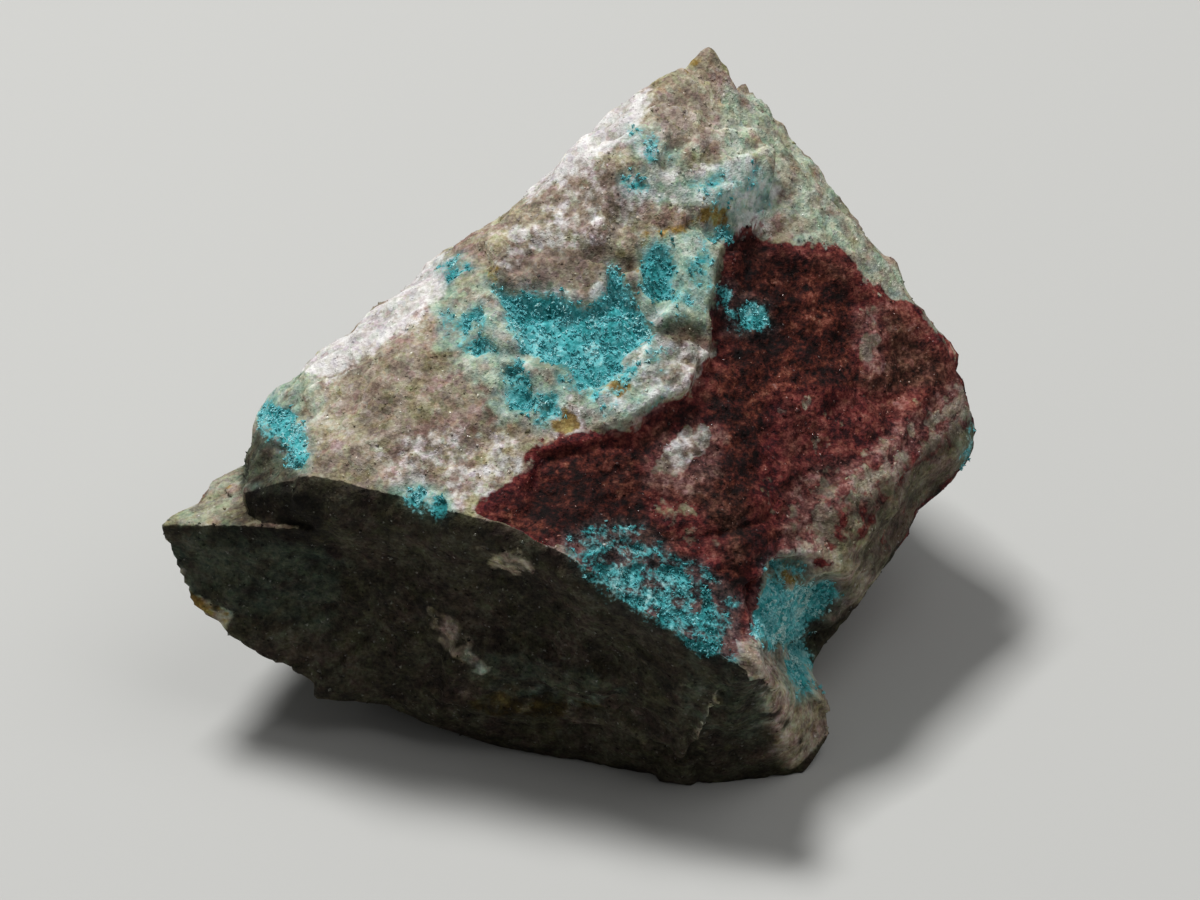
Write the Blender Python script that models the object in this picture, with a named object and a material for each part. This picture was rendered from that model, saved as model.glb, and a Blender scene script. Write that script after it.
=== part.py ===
# A broken lump of quartz-rich rock, about 41 mm across, with ajoite in its hollows.
# It formed as one piece, so it is one solid: a block with a sharp top corner, a ledge
# on its left, a second slab behind it and a short foot at the front right.
# Units: every size below is in millimetres; the mesh is made in metres, +Z up.
import bpy
import numpy as np
from itertools import combinations

MM = 0.001

# The stone is described as it is seen from the front, looking down at it:
# a corner is (across to the right, up as seen, towards the viewer).
LOOKING_DOWN = np.radians(40.0)
SINE, COSINE = np.sin(LOOKING_DOWN), np.cos(LOOKING_DOWN)

# Corners of the main block: broken faces run straight from corner to corner.
BLOCK_SEEN = {
    "notch": (-17.6, -2.0, 4.0), "left low": (-17.6, 0.2, 0.3), "left top": (-16.6, 3.1, 0.8),
    "shoulder": (-14.9, 4.2, 2.0), "ridge a": (-14.7, -1.3, 6.3), "ridge b": (-9.5, -2.8, 7.3),
    "ridge c": (-4.9, -3.9, 8.2), "ridge d": (-1.7, -5.4, 8.6), "ridge e": (2.7, -8.5, 8.8),
    "ridge f": (7.1, -10.9, 8.2), "edge a": (-13.4, 5.0, 2.2), "edge b": (-8.0, 9.1, 1.0),
    "edge c": (-3.4, 13.0, -0.4), "edge in c": (-2.0, 12.4, 2.0), "edge d": (0.0, 16.3, -1.6),
    "edge in d": (2.2, 17.0, 0.8), "apex left": (4.5, 19.8, -0.8), "apex": (5.6, 20.5, -1.2),
    "apex right": (7.0, 18.1, -2.4), "crest": (8.4, 12.8, -0.6), "red a": (12.6, 10.1, -1.8),
    "red b": (15.1, 7.5, -2.8), "red c": (17.2, 5.8, -3.6), "red d": (19.2, 2.9, -4.4),
    "red e": (19.4, 1.0, -4.8), "waist a": (13.5, -3.2, 0.0), "waist b": (9.9, -6.9, 4.0),
    "side a": (18.1, -1.5, -5.2), "side b": (13.7, -7.1, -4.0), "side c": (12.4, -9.2, -3.2),
    "low a": (2.0, -16.2, -1.2), "low b": (-4.0, -14.9, -2.2), "low c": (-10.1, -13.3, -1.8),
    "low d": (-15.1, -11.7, -1.2), "low e": (-18.0, -9.8, -0.6),
}
# Hidden corners are given in level axes: (right, away from the viewer, up).
BLOCK_HIDDEN = {
    "base a": (5.0, -9.6, -14.3), "base b": (-3.0, -7.6, -14.3), "base c": (-10.5, -2.0, -14.3),
    "base d": (9.0, 5.5, -14.3), "back a": (-13.0, 7.0, -6.0), "back b": (-17.5, 1.5, -5.0),
    "back c": (-3.0, 13.5, 2.0),
}
# The paler slab standing behind the block, parted from it by a shallow cleft.
REAR_SEEN = {
    "peak": (7.6, 19.5, -8.0), "peak low": (9.0, 18.3, -8.4), "rim a": (9.7, 16.1, -9.0),
    "rim b": (11.4, 13.1, -9.4), "rim c": (13.8, 9.8, -9.0), "rim d": (16.2, 7.7, -8.0),
    "rim e": (17.9, 5.6, -6.6), "rim f": (19.2, 2.5, -5.6), "side": (18.1, -1.6, -6.0),
    "inner a": (-2.0, 1.5, 0.0), "inner b": (5.0, -9.5, 0.0), "inner c": (5.1, 16.2, -4.6),
    "inner d": (15.3, 3.6, -5.4), "inner e": (0.0, 12.2, -5.0),
}
REAR_HIDDEN = {
    "base a": (9.0, 6.0, -14.3), "base b": (0.5, 8.5, -14.3), "base c": (-9.0, 1.0, -14.3),
    "wall a": (3.0, 18.0, 5.0), "wall b": (-4.0, 16.5, -1.0), "wall c": (-10.0, 11.5, -6.5),
    "wall d": (12.5, 14.5, -3.0), "wall e": (15.0, 8.0, -7.5), "wall f": (2.0, 14.0, -10.5),
    "wall g": (-14.0, 5.0, -8.0),
}
# The level-topped ledge sticking out at the left.
LEDGE_SEEN = {
    "tip": (-22.2, -3.7, 2.2), "tip low": (-21.8, -5.3, 1.2), "back edge": (-20.9, -2.6, 0.8),
    "back": (-19.0, -0.8, -0.8), "back in": (-16.9, -0.7, -0.8), "front": (-18.4, -3.5, 3.4),
    "front in": (-14.8, -3.9, 5.0), "low a": (-20.5, -7.6, 0.2), "low b": (-19.1, -9.0, -0.2),
    "low c": (-16.9, -10.7, -0.8),
}
LEDGE_HIDDEN = {
    "back low": (-17.5, 3.0, -5.5), "in a": (-5.0, -6.0, -12.0), "in b": (3.0, 3.0, 2.0),
    "in c": (3.0, 3.0, -8.0), "in d": (3.0, -5.0, -3.0),
}
# The foot at the front right, below the narrow waist.
FOOT_SEEN = {
    "ridge": (6.7, -10.9, 8.0), "knee": (7.9, -11.1, 7.2), "side a": (10.2, -12.0, 2.0),
    "side b": (11.3, -12.6, -1.6), "toe a": (11.6, -14.4, -1.8), "toe b": (10.6, -16.0, -1.4),
    "toe c": (9.8, -16.7, -1.3), "toe d": (5.8, -16.9, -0.6), "toe e": (3.0, -16.6, -0.8),
}
FOOT_HIDDEN = {
    "base a": (9.6, -9.0, -14.3), "base b": (5.0, -9.7, -14.3), "base c": (3.0, -9.3, -14.3),
    "base d": (9.0, 2.0, -14.3), "in a": (-3.0, 3.0, -3.0), "in b": (3.0, 5.0, 0.0),
    "in c": (8.0, 3.0, -6.0),
}
MIDDLE_SEEN = (0.0, -1.5, -3.0)      # a point every part of the surface can be seen from
BASE_LEVEL = -13.4                   # the underside is cut flat here, to rest on
EDGE_SHARPNESS = 9.0                 # how tightly faces meet, per mm
CLEFT_SHARPNESS = 3.0                # how tightly lumps meet in a cleft, per mm
RIDGE_REACH = 1.6                    # how far round a ridge the relief dies away, per mm
RIDGE_CALM, CALM_BEHIND = 2.3, 0.7   # how strongly it does, in front and behind
RIDGE_LEAN = 0.2                     # faces met more aslant than this count as this
LEAST_LEAN = 1e-3                    # faces met more aslant than this are left out

# Benches, hollows and steps: (height, width of the slope round it, outline as seen).
FORMS = {
    "upper bench": (0.60, 0.65, ((-6.2, 10.4), (-4.0, 12.2), (-2.0, 14.4), (2.5, 18.4), (6.0, 18.0),
                                 (7.6, 15.0), (8.2, 12.6), (5.0, 11.1), (3.2, 10.9), (2.0, 11.4),
                                 (0.6, 11.3), (0.1, 10.7), (-0.5, 10.4), (-1.5, 10.35),
                                 (-2.8, 10.5), (-4.0, 10.3), (-5.2, 9.4))),
    "upper lump": (0.35, 0.4, ((0.0, 14.3), (1.3, 14.5), (3.0, 13.8), (2.8, 12.8), (1.8, 12.3),
                               (0.5, 12.8), (-0.3, 13.5))),
    "round knob": (0.30, 0.4, ((2.0, 15.6), (3.5, 15.7), (4.5, 14.9), (4.2, 14.2), (3.0, 13.8),
                               (2.3, 14.5))),
    "crest lobe": (0.40, 0.5, ((4.5, 14.3), (7.3, 15.0), (8.2, 14.0), (8.3, 12.5), (7.3, 11.8),
                               (5.8, 11.4), (4.5, 11.3), (3.0, 12.3))),
    "plate": (0.32, 0.40, ((-5.0, 9.6), (-4.0, 10.2), (-0.9, 10.2), (-0.8, 9.7), (0.6, 9.3),
                           (0.5, 8.7), (0.2, 8.0), (-0.5, 7.4), (-1.3, 7.2), (-1.7, 7.5),
                           (-2.4, 8.0), (-3.0, 8.2), (-3.8, 8.0), (-4.8, 8.1), (-5.1, 8.8))),
    "crack under the bench": (-0.35, 0.5, ((-0.9, 10.2), (0.1, 10.3), (1.1, 9.9), (2.1, 9.5),
                                           (1.7, 9.0), (0.1, 9.3), (-0.8, 9.6))),
    "ajoite hollow": (-0.50, 0.5, ((-5.3, 7.9), (-2.5, 7.7), (-1.0, 7.0), (0.0, 7.3), (0.6, 8.5),
                                   (2.0, 7.8), (2.7, 5.9), (2.0, 4.8), (1.2, 3.7), (0.0, 2.9),
                                   (-1.2, 4.2), (-2.6, 4.7), (-3.9, 5.8))),
    "crack by the hollow": (-0.35, 0.4, ((0.5, 9.0), (0.9, 8.9), (1.7, 7.7), (2.5, 6.2),
                                          (2.0, 6.0), (1.2, 7.5), (0.5, 8.4))),
    "rib between hollows": (0.35, 0.4, ((1.1, 8.9), (2.0, 9.4), (2.6, 8.8), (2.8, 6.9), (2.3, 6.6),
                                        (1.8, 7.5))),
    "right hollow": (-0.35, 0.5, ((2.1, 10.2), (3.4, 10.4), (3.8, 9.4), (3.8, 7.5), (3.0, 6.8),
                                  (2.3, 7.5))),
    "right shelf": (0.60, 0.9, ((2.8, 10.5), (5.0, 10.9), (5.8, 10.0), (5.8, 5.6), (4.2, 6.1),
                                (2.8, 6.2), (3.4, 7.5), (3.8, 9.4))),
    "bump left of hollow": (0.35, 0.5, ((-6.0, 7.3), (-5.0, 7.5), (-4.1, 6.0), (-3.9, 4.9),
                                        (-4.8, 4.6), (-5.6, 5.3))),
    "small hollow": (-0.45, 0.5, ((-5.0, 4.2), (-3.9, 4.3), (-3.4, 3.0), (-3.5, 2.1), (-4.4, 2.0),
                                  (-4.9, 2.8))),
    "pale wedge": (0.40, 0.4, ((-0.7, 2.5), (1.4, 4.9), (2.5, 5.5), (4.9, 5.2), (5.8, 4.8),
                               (4.9, 4.2), (4.4, 3.0), (2.7, 2.3), (1.0, 1.2), (-0.5, 1.2))),
    "red face": (-0.45, 0.5, ((8.4, 11.8), (7.1, 11.2), (6.1, 9.9), (5.6, 7.4), (5.7, 4.7),
                              (4.9, 4.1), (4.4, 2.6), (2.0, 1.5), (0.0, 0.5), (-3.2, -0.1),
                              (-3.9, -2.0), (1.9, -5.4), (9.9, -3.5), (15.0, 1.0), (17.2, 4.5),
                              (13.1, 8.0), (9.0, 10.2))),
    "front hollow": (-1.3, 3.0, ((-14.8, -4.4), (-9.8, -4.7), (-3.9, -6.4), (2.0, -10.3),
                                 (3.9, -13.0), (0.0, -14.8), (-6.0, -13.2), (-12.5, -11.5),
                                 (-16.5, -9.0))),
    "front shelf": (0.6, 0.9, ((-8.5, -9.9), (-2.0, -11.0), (4.4, -12.3), (4.0, -14.4),
                               (-2.0, -14.3), (-8.0, -12.7))),
    "waist": (-1.3, 1.0, ((7.9, -7.4), (8.6, -5.7), (10.5, -5.4), (12.5, -7.0), (12.0, -9.6),
                          (11.1, -12.0), (9.4, -11.8), (7.8, -9.8))),
    "waist knob": (0.8, 0.6, ((6.9, -9.5), (8.1, -9.1), (9.4, -10.0), (9.0, -11.1), (7.3, -11.0))),
    "foot facet": (-0.5, 0.9, ((6.8, -11.2), (8.1, -11.6), (10.0, -12.1), (11.3, -12.8),
                               (11.8, -14.5), (10.4, -17.0), (5.0, -17.0), (4.4, -15.0),
                               (5.0, -13.8), (6.3, -12.1))),
    "left face": (-0.5, 0.6, ((-17.2, -1.0), (-16.4, 0.5), (-14.7, -1.0), (-15.2, -1.9),
                              (-17.0, -2.1))),
    "side hollow": (-0.3, 0.9, ((13.9, -2.5), (16.8, -0.3), (17.7, -1.5), (15.2, -4.5),
                                (13.6, -5.5), (12.4, -5.4))),
}
OUTLINE_WOBBLE = ((0.35, 1.7), (0.15, 0.7))   # outlines wander: (how far, over what length)
FULL_WOBBLE_SLOPE = 0.7                       # narrower slopes wander less
FRONT_FROM, FRONT_FULL = 0.05, 0.35           # how squarely a face must look at the viewer

# Relief of the broken rock: (height, length) of each kind.
ROLLS = ((0.30, 6.0), (0.12, 2.6))            # soft swells, which the edges share
CHIPS = ((0.95, 4.6), (0.40, 1.9))            # flat conchoidal chips with creases between
CHIP_BEND, CHIP_BEND_LENGTH = 0.5, 2.5
BEDDING_SEEN = (-0.545, 0.839, -0.25)         # square to the bedding, which climbs to the right
# Ledges along the bedding: height, spacing, share of the spacing taken by the drop, and how
# far the beds wander, in spacings, over what length.
LEDGES = ((0.24, 2.3, 0.24, 1.4, 6.0), (0.09, 0.9, 0.30, 1.0, 3.0))
LEDGES_COME, LEAST_LEDGE = (-0.1, 0.5), 0.15  # a field picks where ledges show; least share
APART = 9.0                                   # points this far apart in a field are unlike
CALM_FROM, CALM_FULL = 0.6, 2.6               # the relief starts this far above the base
GRAZE_FROM, GRAZE_FULL = 0.12, 0.45           # less relief where a face runs along its own way

GRID_CELLS = 80                               # cells along each side of the wrapped grid
SPREAD_TURNS = (60, 40, 24, 12)               # rounds of evening out, coarse grid to fine
SPREAD_STEP = 0.7                             # how far a way moves in each round
EDGE_TURNS = 2                                # rounds of moving ways onto edges
TRIANGLES = 9600                              # what the finished solid is thinned down to

STONE_COLOUR = (0.42, 0.34, 0.31, 1.0)
STONE_ROUGHNESS = 0.85


def level(seen):
    """Turns as-seen points into level axes: right, away, up."""
    s = np.atleast_2d(np.asarray(seen, float))
    return np.stack([s[:, 0], s[:, 1] * SINE - s[:, 2] * COSINE,
                     s[:, 1] * COSINE + s[:, 2] * SINE], 1)


def as_seen(points):
    """Turns level points into as-seen ones: across, up, near."""
    return np.stack([points[:, 0], points[:, 1] * SINE + points[:, 2] * COSINE,
                     -points[:, 1] * COSINE + points[:, 2] * SINE], 1)


MIDDLE = level(MIDDLE_SEEN)[0]
BEDDING = level(BEDDING_SEEN)[0] / np.linalg.norm(BEDDING_SEEN)
TO_VIEWER = np.array((0.0, -COSINE, SINE))


def faces_between(seen, hidden):
    """The outer faces of the lump with these corners, as (normals, distances from the middle):
    a plane through three corners is a face when no other corner lies beyond it."""
    points = np.concatenate([level(list(seen.values())), np.array(list(hidden.values()))]) - MIDDLE
    threes = np.array(list(combinations(range(len(points)), 3)))
    first, second, third = (points[threes[:, k]] for k in range(3))
    normals = np.cross(second - first, third - first)
    size = np.linalg.norm(normals, axis=1)
    solid = size > 1e-9
    normals = normals[solid] / size[solid, None]
    distances = (normals * first[solid]).sum(1)
    beyond = normals @ points.T - distances[:, None]
    outward, inward = (beyond < 1e-6).all(1), (beyond > -1e-6).all(1)
    normals = np.concatenate([normals[outward], -normals[inward]])
    distances = np.concatenate([distances[outward], -distances[inward]])
    return normals, distances


LUMPS = [faces_between(seen, hidden) for seen, hidden in (
    (BLOCK_SEEN, BLOCK_HIDDEN), (REAR_SEEN, REAR_HIDDEN),
    (LEDGE_SEEN, LEDGE_HIDDEN), (FOOT_SEEN, FOOT_HIDDEN))]


def smooth_rise(low, high, value):
    t = np.clip((value - low) / (high - low), 0.0, 1.0)
    return t * t * (3.0 - 2.0 * t)


class Swells:
    """Smooth random field, one swell per unit of length."""

    def __init__(self, seed):
        rng = np.random.default_rng(seed)
        self.order = np.tile(rng.permutation(256), 3)
        slopes = rng.normal(size=(256, 3))
        self.slopes = slopes / np.linalg.norm(slopes, axis=1, keepdims=True)

    def __call__(self, points):
        cell = np.floor(points).astype(np.int64)
        inside = points - cell
        cell &= 255
        fade = inside ** 3 * (inside * (inside * 6 - 15) + 10)
        total = np.zeros(len(points))
        for corner in np.ndindex(2, 2, 2):
            at = cell + corner
            key = self.order[self.order[self.order[at[:, 0]] + at[:, 1]] + at[:, 2]]
            weight = np.abs(1.0 - np.array(corner) - fade).prod(1)
            total += weight * ((inside - corner) * self.slopes[key]).sum(1)
        return 1.6 * total


class Facets:
    """Flat facets with creases between: the nearest of scattered seeds, each measured
    with its own turned box, so that every seed stands in a small blunt pyramid."""

    def __init__(self, seed):
        rng = np.random.default_rng(seed)
        self.order = np.tile(rng.permutation(256), 3)
        self.spots = rng.random((256, 3))
        self.rises = 0.35 * rng.random(256)
        self.turns = np.linalg.qr(rng.normal(size=(256, 3, 3)))[0]

    def __call__(self, points):
        cell = np.floor(points).astype(np.int64)
        nearest = np.full(len(points), 9.0)
        for step in np.ndindex(3, 3, 3):
            beside = cell + step - 1
            wrapped = beside & 255
            key = self.order[self.order[wrapped[:, 0]] + wrapped[:, 1]]
            key = self.order[key + wrapped[:, 2]]
            away = points - beside - self.spots[key]
            box = np.abs(np.einsum("nij,nj->ni", self.turns[key], away)).max(1)
            nearest = np.minimum(nearest, box + self.rises[key])
        return nearest


ROLL, BED_BEND, BED_PLACES, WANDER = Swells(11), Swells(12), Swells(13), Swells(15)
BIG_CHIP, MID_CHIP = Facets(21), Facets(22)


def reach(ways, relief=0.0):
    """How far the surface is from the middle along each way, and which way it faces there:
    the nearest face of each lump, with soft edges, then the lump that reaches furthest, with
    soft clefts."""
    reaches, facings = [], []
    for normals, distances in LUMPS:
        lean = ways @ normals.T
        far = (distances + np.reshape(relief, (-1, 1))) / np.maximum(lean, LEAST_LEAN)
        far = np.where(lean > LEAST_LEAN, far, 1 / LEAST_LEAN)
        nearest = far.min(1)
        share = np.exp(-EDGE_SHARPNESS * (far - nearest[:, None]))
        reaches.append(nearest - np.log(share.sum(1)) / EDGE_SHARPNESS)
        facings.append(share @ normals / share.sum(1)[:, None])
    furthest = np.max(reaches, axis=0)
    share = np.exp(CLEFT_SHARPNESS * (np.array(reaches) - furthest))
    facing = (share[:, :, None] * np.array(facings)).sum(0)
    furthest = furthest + np.log(share.sum(0)) / CLEFT_SHARPNESS
    return furthest, facing / np.linalg.norm(facing, axis=1, keepdims=True)


def openness(ways):
    """1 on open faces, less over a ridge: the length of the mean of the faces met nearby."""
    furthest = np.full(len(ways), -1.0)
    found = np.ones(len(ways))
    for normals, distances in LUMPS:
        lean = ways @ normals.T
        far = distances / np.maximum(lean, LEAST_LEAN)
        far = np.where(lean > LEAST_LEAN, far, 1 / LEAST_LEAN)
        nearest = far.min(1)
        share = np.exp(-RIDGE_REACH * (far - nearest[:, None]) * np.maximum(lean, RIDGE_LEAN))
        mean = np.linalg.norm(share @ normals, axis=1) / share.sum(1)
        outer = nearest > furthest
        furthest = np.where(outer, nearest, furthest)
        found = np.where(outer, mean, found)
    return found


def depth_inside(across, up, outline):
    """Distance inside an outline, below zero outside it."""
    corners = np.array(outline)
    nearest = np.full(len(across), 1e9)
    within = np.zeros(len(across), bool)
    for (ax, ay), (bx, by) in zip(corners, np.roll(corners, -1, axis=0)):
        run, climb = bx - ax, by - ay
        along = ((across - ax) * run + (up - ay) * climb) / (run * run + climb * climb)
        along = np.clip(along, 0, 1)
        nearest = np.minimum(nearest, np.hypot(across - ax - along * run, up - ay - along * climb))
        crossing = ax + (up - ay) * run / (climb or 1e-9)
        within ^= ((ay > up) != (by > up)) & (across < crossing)
    return np.where(within, nearest, -nearest)


def ledges(height, drop):
    """Steps that rise slowly and drop quickly, -0.5 to 0.5, one per unit of height."""
    part = height - np.floor(height)
    return np.where(part < 1 - drop, part / (1 - drop), (1 - part) / drop) - 0.5


def rolls_at(points):
    """Soft swells of the whole surface, its edges too, so that no edge runs dead straight."""
    calm = smooth_rise(BASE_LEVEL + CALM_FROM, BASE_LEVEL + CALM_FULL, points[:, 2])
    return calm * sum(high * ROLL(points / length + APART * k)
                      for k, (high, length) in enumerate(ROLLS))


def relief_at(points, facing):
    """Height of the relief over the plain faces: forms drawn as seen, then broken rock."""
    seen = as_seen(points)
    front = smooth_rise(FRONT_FROM, FRONT_FULL, facing @ TO_VIEWER)
    wobble = sum(far * WANDER(points / length + APART * k)
                 for k, (far, length) in enumerate(OUTLINE_WOBBLE))
    total = np.zeros(len(points))
    for height, slope, outline in FORMS.values():
        inside = depth_inside(seen[:, 0], seen[:, 1], outline)
        inside = inside + wobble * min(1.0, slope / FULL_WOBBLE_SLOPE)
        total += height * front * smooth_rise(-slope / 2, slope / 2, inside)

    calm = smooth_rise(BASE_LEVEL + CALM_FROM, BASE_LEVEL + CALM_FULL, points[:, 2])
    rock = np.zeros(len(points))
    for k, (high, spacing, drop, wander, length) in enumerate(LEDGES):
        beds = points @ BEDDING / spacing + wander * BED_BEND(points / length + APART * k)
        shown = smooth_rise(*LEDGES_COME, BED_PLACES(points / length + APART * k))
        rock += high * (LEAST_LEDGE + (1 - LEAST_LEDGE) * shown) * ledges(beds, drop)
    bend = np.stack([WANDER(points / CHIP_BEND_LENGTH + APART * k) for k in (2, 3, 4)], 1)
    for (high, length), field in zip(CHIPS, (BIG_CHIP, MID_CHIP)):
        rock += high * (0.5 - field((points + CHIP_BEND * bend) / length))
    return total + calm * rock


def wrapped_grid(cells):
    """A grid on the six sides of a cube blown up to a ball: ways, four-sided cells, and the
    number of each way on each side (sides share the ones along their edges)."""
    line = np.tan(np.linspace(-1, 1, cells + 1) * np.pi / 4)
    s, t = np.meshgrid(line, line, indexing="ij")
    one = np.ones_like(s)
    sides = ((one, s, t), (-one, t, s), (t, one, s), (s, -one, t), (s, t, one), (t, s, -one))
    cube = np.stack([np.stack(side, -1) for side in sides]).reshape(-1, 3)
    _, first, number = np.unique(np.round(cube, 6), axis=0, return_index=True, return_inverse=True)
    number = number.reshape(6, cells + 1, cells + 1)
    ways = cube[first] / np.linalg.norm(cube[first], axis=1, keepdims=True)
    cells_of = np.stack([number[:, :-1, :-1], number[:, 1:, :-1],
                         number[:, 1:, 1:], number[:, :-1, 1:]], -1).reshape(-1, 4)
    return ways, cells_of, number


def spread_evenly():
    """Evens the grid out over the stone, so that its cells come out alike in size: each way
    moves to the middle of the cells round it, weighed by size, first on a coarse grid."""
    ways = number = None
    for turn, rounds in enumerate(SPREAD_TURNS):
        cells = GRID_CELLS >> (len(SPREAD_TURNS) - 1 - turn)
        coarse, coarse_number = ways, number
        ways, cells_of, number = wrapped_grid(cells)
        if coarse is not None:
            fine = np.zeros((6, cells + 1, cells + 1, 3))
            fine[:, ::2, ::2] = coarse[coarse_number]
            fine[:, 1::2, ::2] = (fine[:, 2::2, ::2] + fine[:, :-2:2, ::2]) / 2
            fine[:, :, 1::2] = (fine[:, :, 2::2] + fine[:, :, :-2:2]) / 2
            ways = np.zeros((number.max() + 1, 3))
            ways[number.ravel()] = fine.reshape(-1, 3)
            ways /= np.linalg.norm(ways, axis=1, keepdims=True)
        for _ in range(rounds):
            points = ways * reach(ways)[0][:, None]
            corner = points[cells_of]
            middle = corner.mean(1)
            size = np.cross(corner[:, 2] - corner[:, 0], corner[:, 3] - corner[:, 1])
            size = np.linalg.norm(size, axis=1)
            pulled = np.zeros_like(ways)
            for k in range(4):
                for axis in range(3):
                    pulled[:, axis] += np.bincount(cells_of[:, k], size * middle[:, axis], len(ways))
            pulled /= np.linalg.norm(pulled, axis=1, keepdims=True)
            ways = ways + SPREAD_STEP * (pulled - ways)
            ways /= np.linalg.norm(ways, axis=1, keepdims=True)
    return ways, cells_of


def grid_edges(cells_of):
    """The pairs of ways joined by a side of a cell, each pair once."""
    pairs = np.concatenate([cells_of[:, (k, (k + 1) % 4)] for k in range(4)])
    return np.unique(np.sort(pairs, axis=1), axis=0)


def nearest_two(ways):
    """For each way, the two nearest faces of the lump that reaches furthest: numbers, how
    much further the second is, and how that changes across the way."""
    best = np.full(len(ways), -1.0)
    number = np.zeros((len(ways), 2), int)
    gap, change = np.zeros(len(ways)), np.zeros((len(ways), 3))
    first_number = 0
    for normals, distances in LUMPS:
        lean = np.maximum(ways @ normals.T, LEAST_LEAN)
        far = np.where(ways @ normals.T > LEAST_LEAN, distances / lean, 1 / LEAST_LEAN)
        two = np.argsort(far, axis=1)[:, :2]
        a, b = np.take_along_axis(far, two, 1).T
        lean_a, lean_b = np.take_along_axis(lean, two, 1).T
        slope = normals[two[:, 0]] * (a / lean_a)[:, None] - normals[two[:, 1]] * (b / lean_b)[:, None]
        slope -= (slope * ways).sum(1)[:, None] * ways
        outer = a > best
        best = np.where(outer, a, best)
        number[outer] = two[outer] + first_number
        gap[outer], change[outer] = (b - a)[outer], slope[outer]
        first_number += len(normals)
    return number, gap, change


def onto_edges(ways, cells_of):
    """Where a cell's side crosses an edge of the stone, its end nearer to the edge moves onto
    it: back by the gap between the two faces over how quickly that gap changes."""
    for _ in range(EDGE_TURNS):
        number, gap, change = nearest_two(ways)
        first, second = grid_edges(cells_of).T
        crosses = ((number[first, 0] == number[second, 1]) & (number[first, 1] == number[second, 0]))
        nearer = np.where(gap[first] < gap[second], first, second)[crosses]
        moved = np.zeros(len(ways), bool)
        moved[nearer] = True
        step = change * (gap / np.maximum((change ** 2).sum(1), LEAST_LEAN))[:, None]
        ways = ways - np.where(moved[:, None], step, 0.0)
        ways /= np.linalg.norm(ways, axis=1, keepdims=True)
    return ways


def around(values, cells_of):
    """The mean of each point's cells: from points, the middle of what surrounds each one."""
    mean = values[cells_of].mean(1)
    total, count = np.zeros_like(values), np.zeros(len(values))
    for k in range(4):
        count += np.bincount(cells_of[:, k], minlength=len(values))
        for axis in range(3):
            total[:, axis] += np.bincount(cells_of[:, k], mean[:, axis], len(values))
    return total / count[:, None]


def split_cells(points, cells_of):
    """Each cell as two triangles: split along its outer diagonal where the stone bulges, so
    that ridges stay whole, and along its inner one in hollows."""
    bulge = ((points - around(points, cells_of)) * (points - MIDDLE)).sum(1)
    a, b, c, d = (points[cells_of[:, k]] - MIDDLE for k in range(4))
    outer = np.linalg.norm(a + c, axis=1) > np.linalg.norm(b + d, axis=1)
    along_first = (outer == (bulge[cells_of].sum(1) > 0))[:, None]
    one = np.where(along_first, cells_of[:, (0, 1, 2)], cells_of[:, (0, 1, 3)])
    other = np.where(along_first, cells_of[:, (0, 2, 3)], cells_of[:, (1, 2, 3)])
    return np.concatenate([one, other])


def stone_points(ways):
    """The finished surface: plain faces raised by the relief, cut flat at the base."""
    plain, facing = reach(ways)
    at = ways * plain[:, None] + MIDDLE
    front = smooth_rise(FRONT_FROM, FRONT_FULL, facing @ TO_VIEWER)
    relief = relief_at(at, facing)
    relief *= openness(ways) ** (CALM_BEHIND + (RIDGE_CALM - CALM_BEHIND) * front)
    relief *= smooth_rise(GRAZE_FROM, GRAZE_FULL, (ways * facing).sum(1))
    relief += rolls_at(at)
    far = reach(ways, relief)[0]
    to_base = (BASE_LEVEL - MIDDLE[2]) / np.minimum(ways[:, 2], -LEAST_LEAN)
    far = np.where(ways[:, 2] < -LEAST_LEAN, np.minimum(far, to_base), far)
    return ways * far[:, None] + MIDDLE


for old in list(bpy.data.objects):
    bpy.data.objects.remove(old)

ways, cells_of = spread_evenly()
ways = onto_edges(ways, cells_of)
points = stone_points(ways)
triangles = split_cells(points, cells_of)
mesh = bpy.data.meshes.new("grid")
mesh.from_pydata((points * MM).tolist(), [], triangles.tolist())
raw = bpy.data.objects.new("grid", mesh)
bpy.context.scene.collection.objects.link(raw)
thin = raw.modifiers.new("thin", "DECIMATE")
thin.ratio = TRIANGLES / len(triangles)
thin.use_collapse_triangulate = True

# The thinned solid is stood with the middle of its base at the origin.
thinned = raw.evaluated_get(bpy.context.evaluated_depsgraph_get())
mesh = bpy.data.meshes.new_from_object(thinned)
bpy.data.objects.remove(raw)
corners = np.empty(3 * len(mesh.vertices))
mesh.vertices.foreach_get("co", corners)
corners = corners.reshape(-1, 3)
low, high = corners.min(0), corners.max(0)
corners -= ((low[0] + high[0]) / 2, (low[1] + high[1]) / 2, low[2])
mesh.vertices.foreach_set("co", corners.ravel())
mesh.update()

stone = bpy.data.objects.new("stone", mesh)
bpy.context.scene.collection.objects.link(stone)
surface = bpy.data.materials.new("broken rock")
surface.use_nodes = True
principled = surface.node_tree.nodes["Principled BSDF"]
principled.inputs["Base Color"].default_value = STONE_COLOUR
principled.inputs["Roughness"].default_value = STONE_ROUGHNESS
principled.inputs["Metallic"].default_value = 0.0
stone.data.materials.append(surface)
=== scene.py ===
# Ajoite cluster: a broken lump of quartz-rich rock, stained dark red on one side, with
# turquoise crusts of small ajoite crystals in its hollows and along its front ridge.
from itertools import combinations

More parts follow.
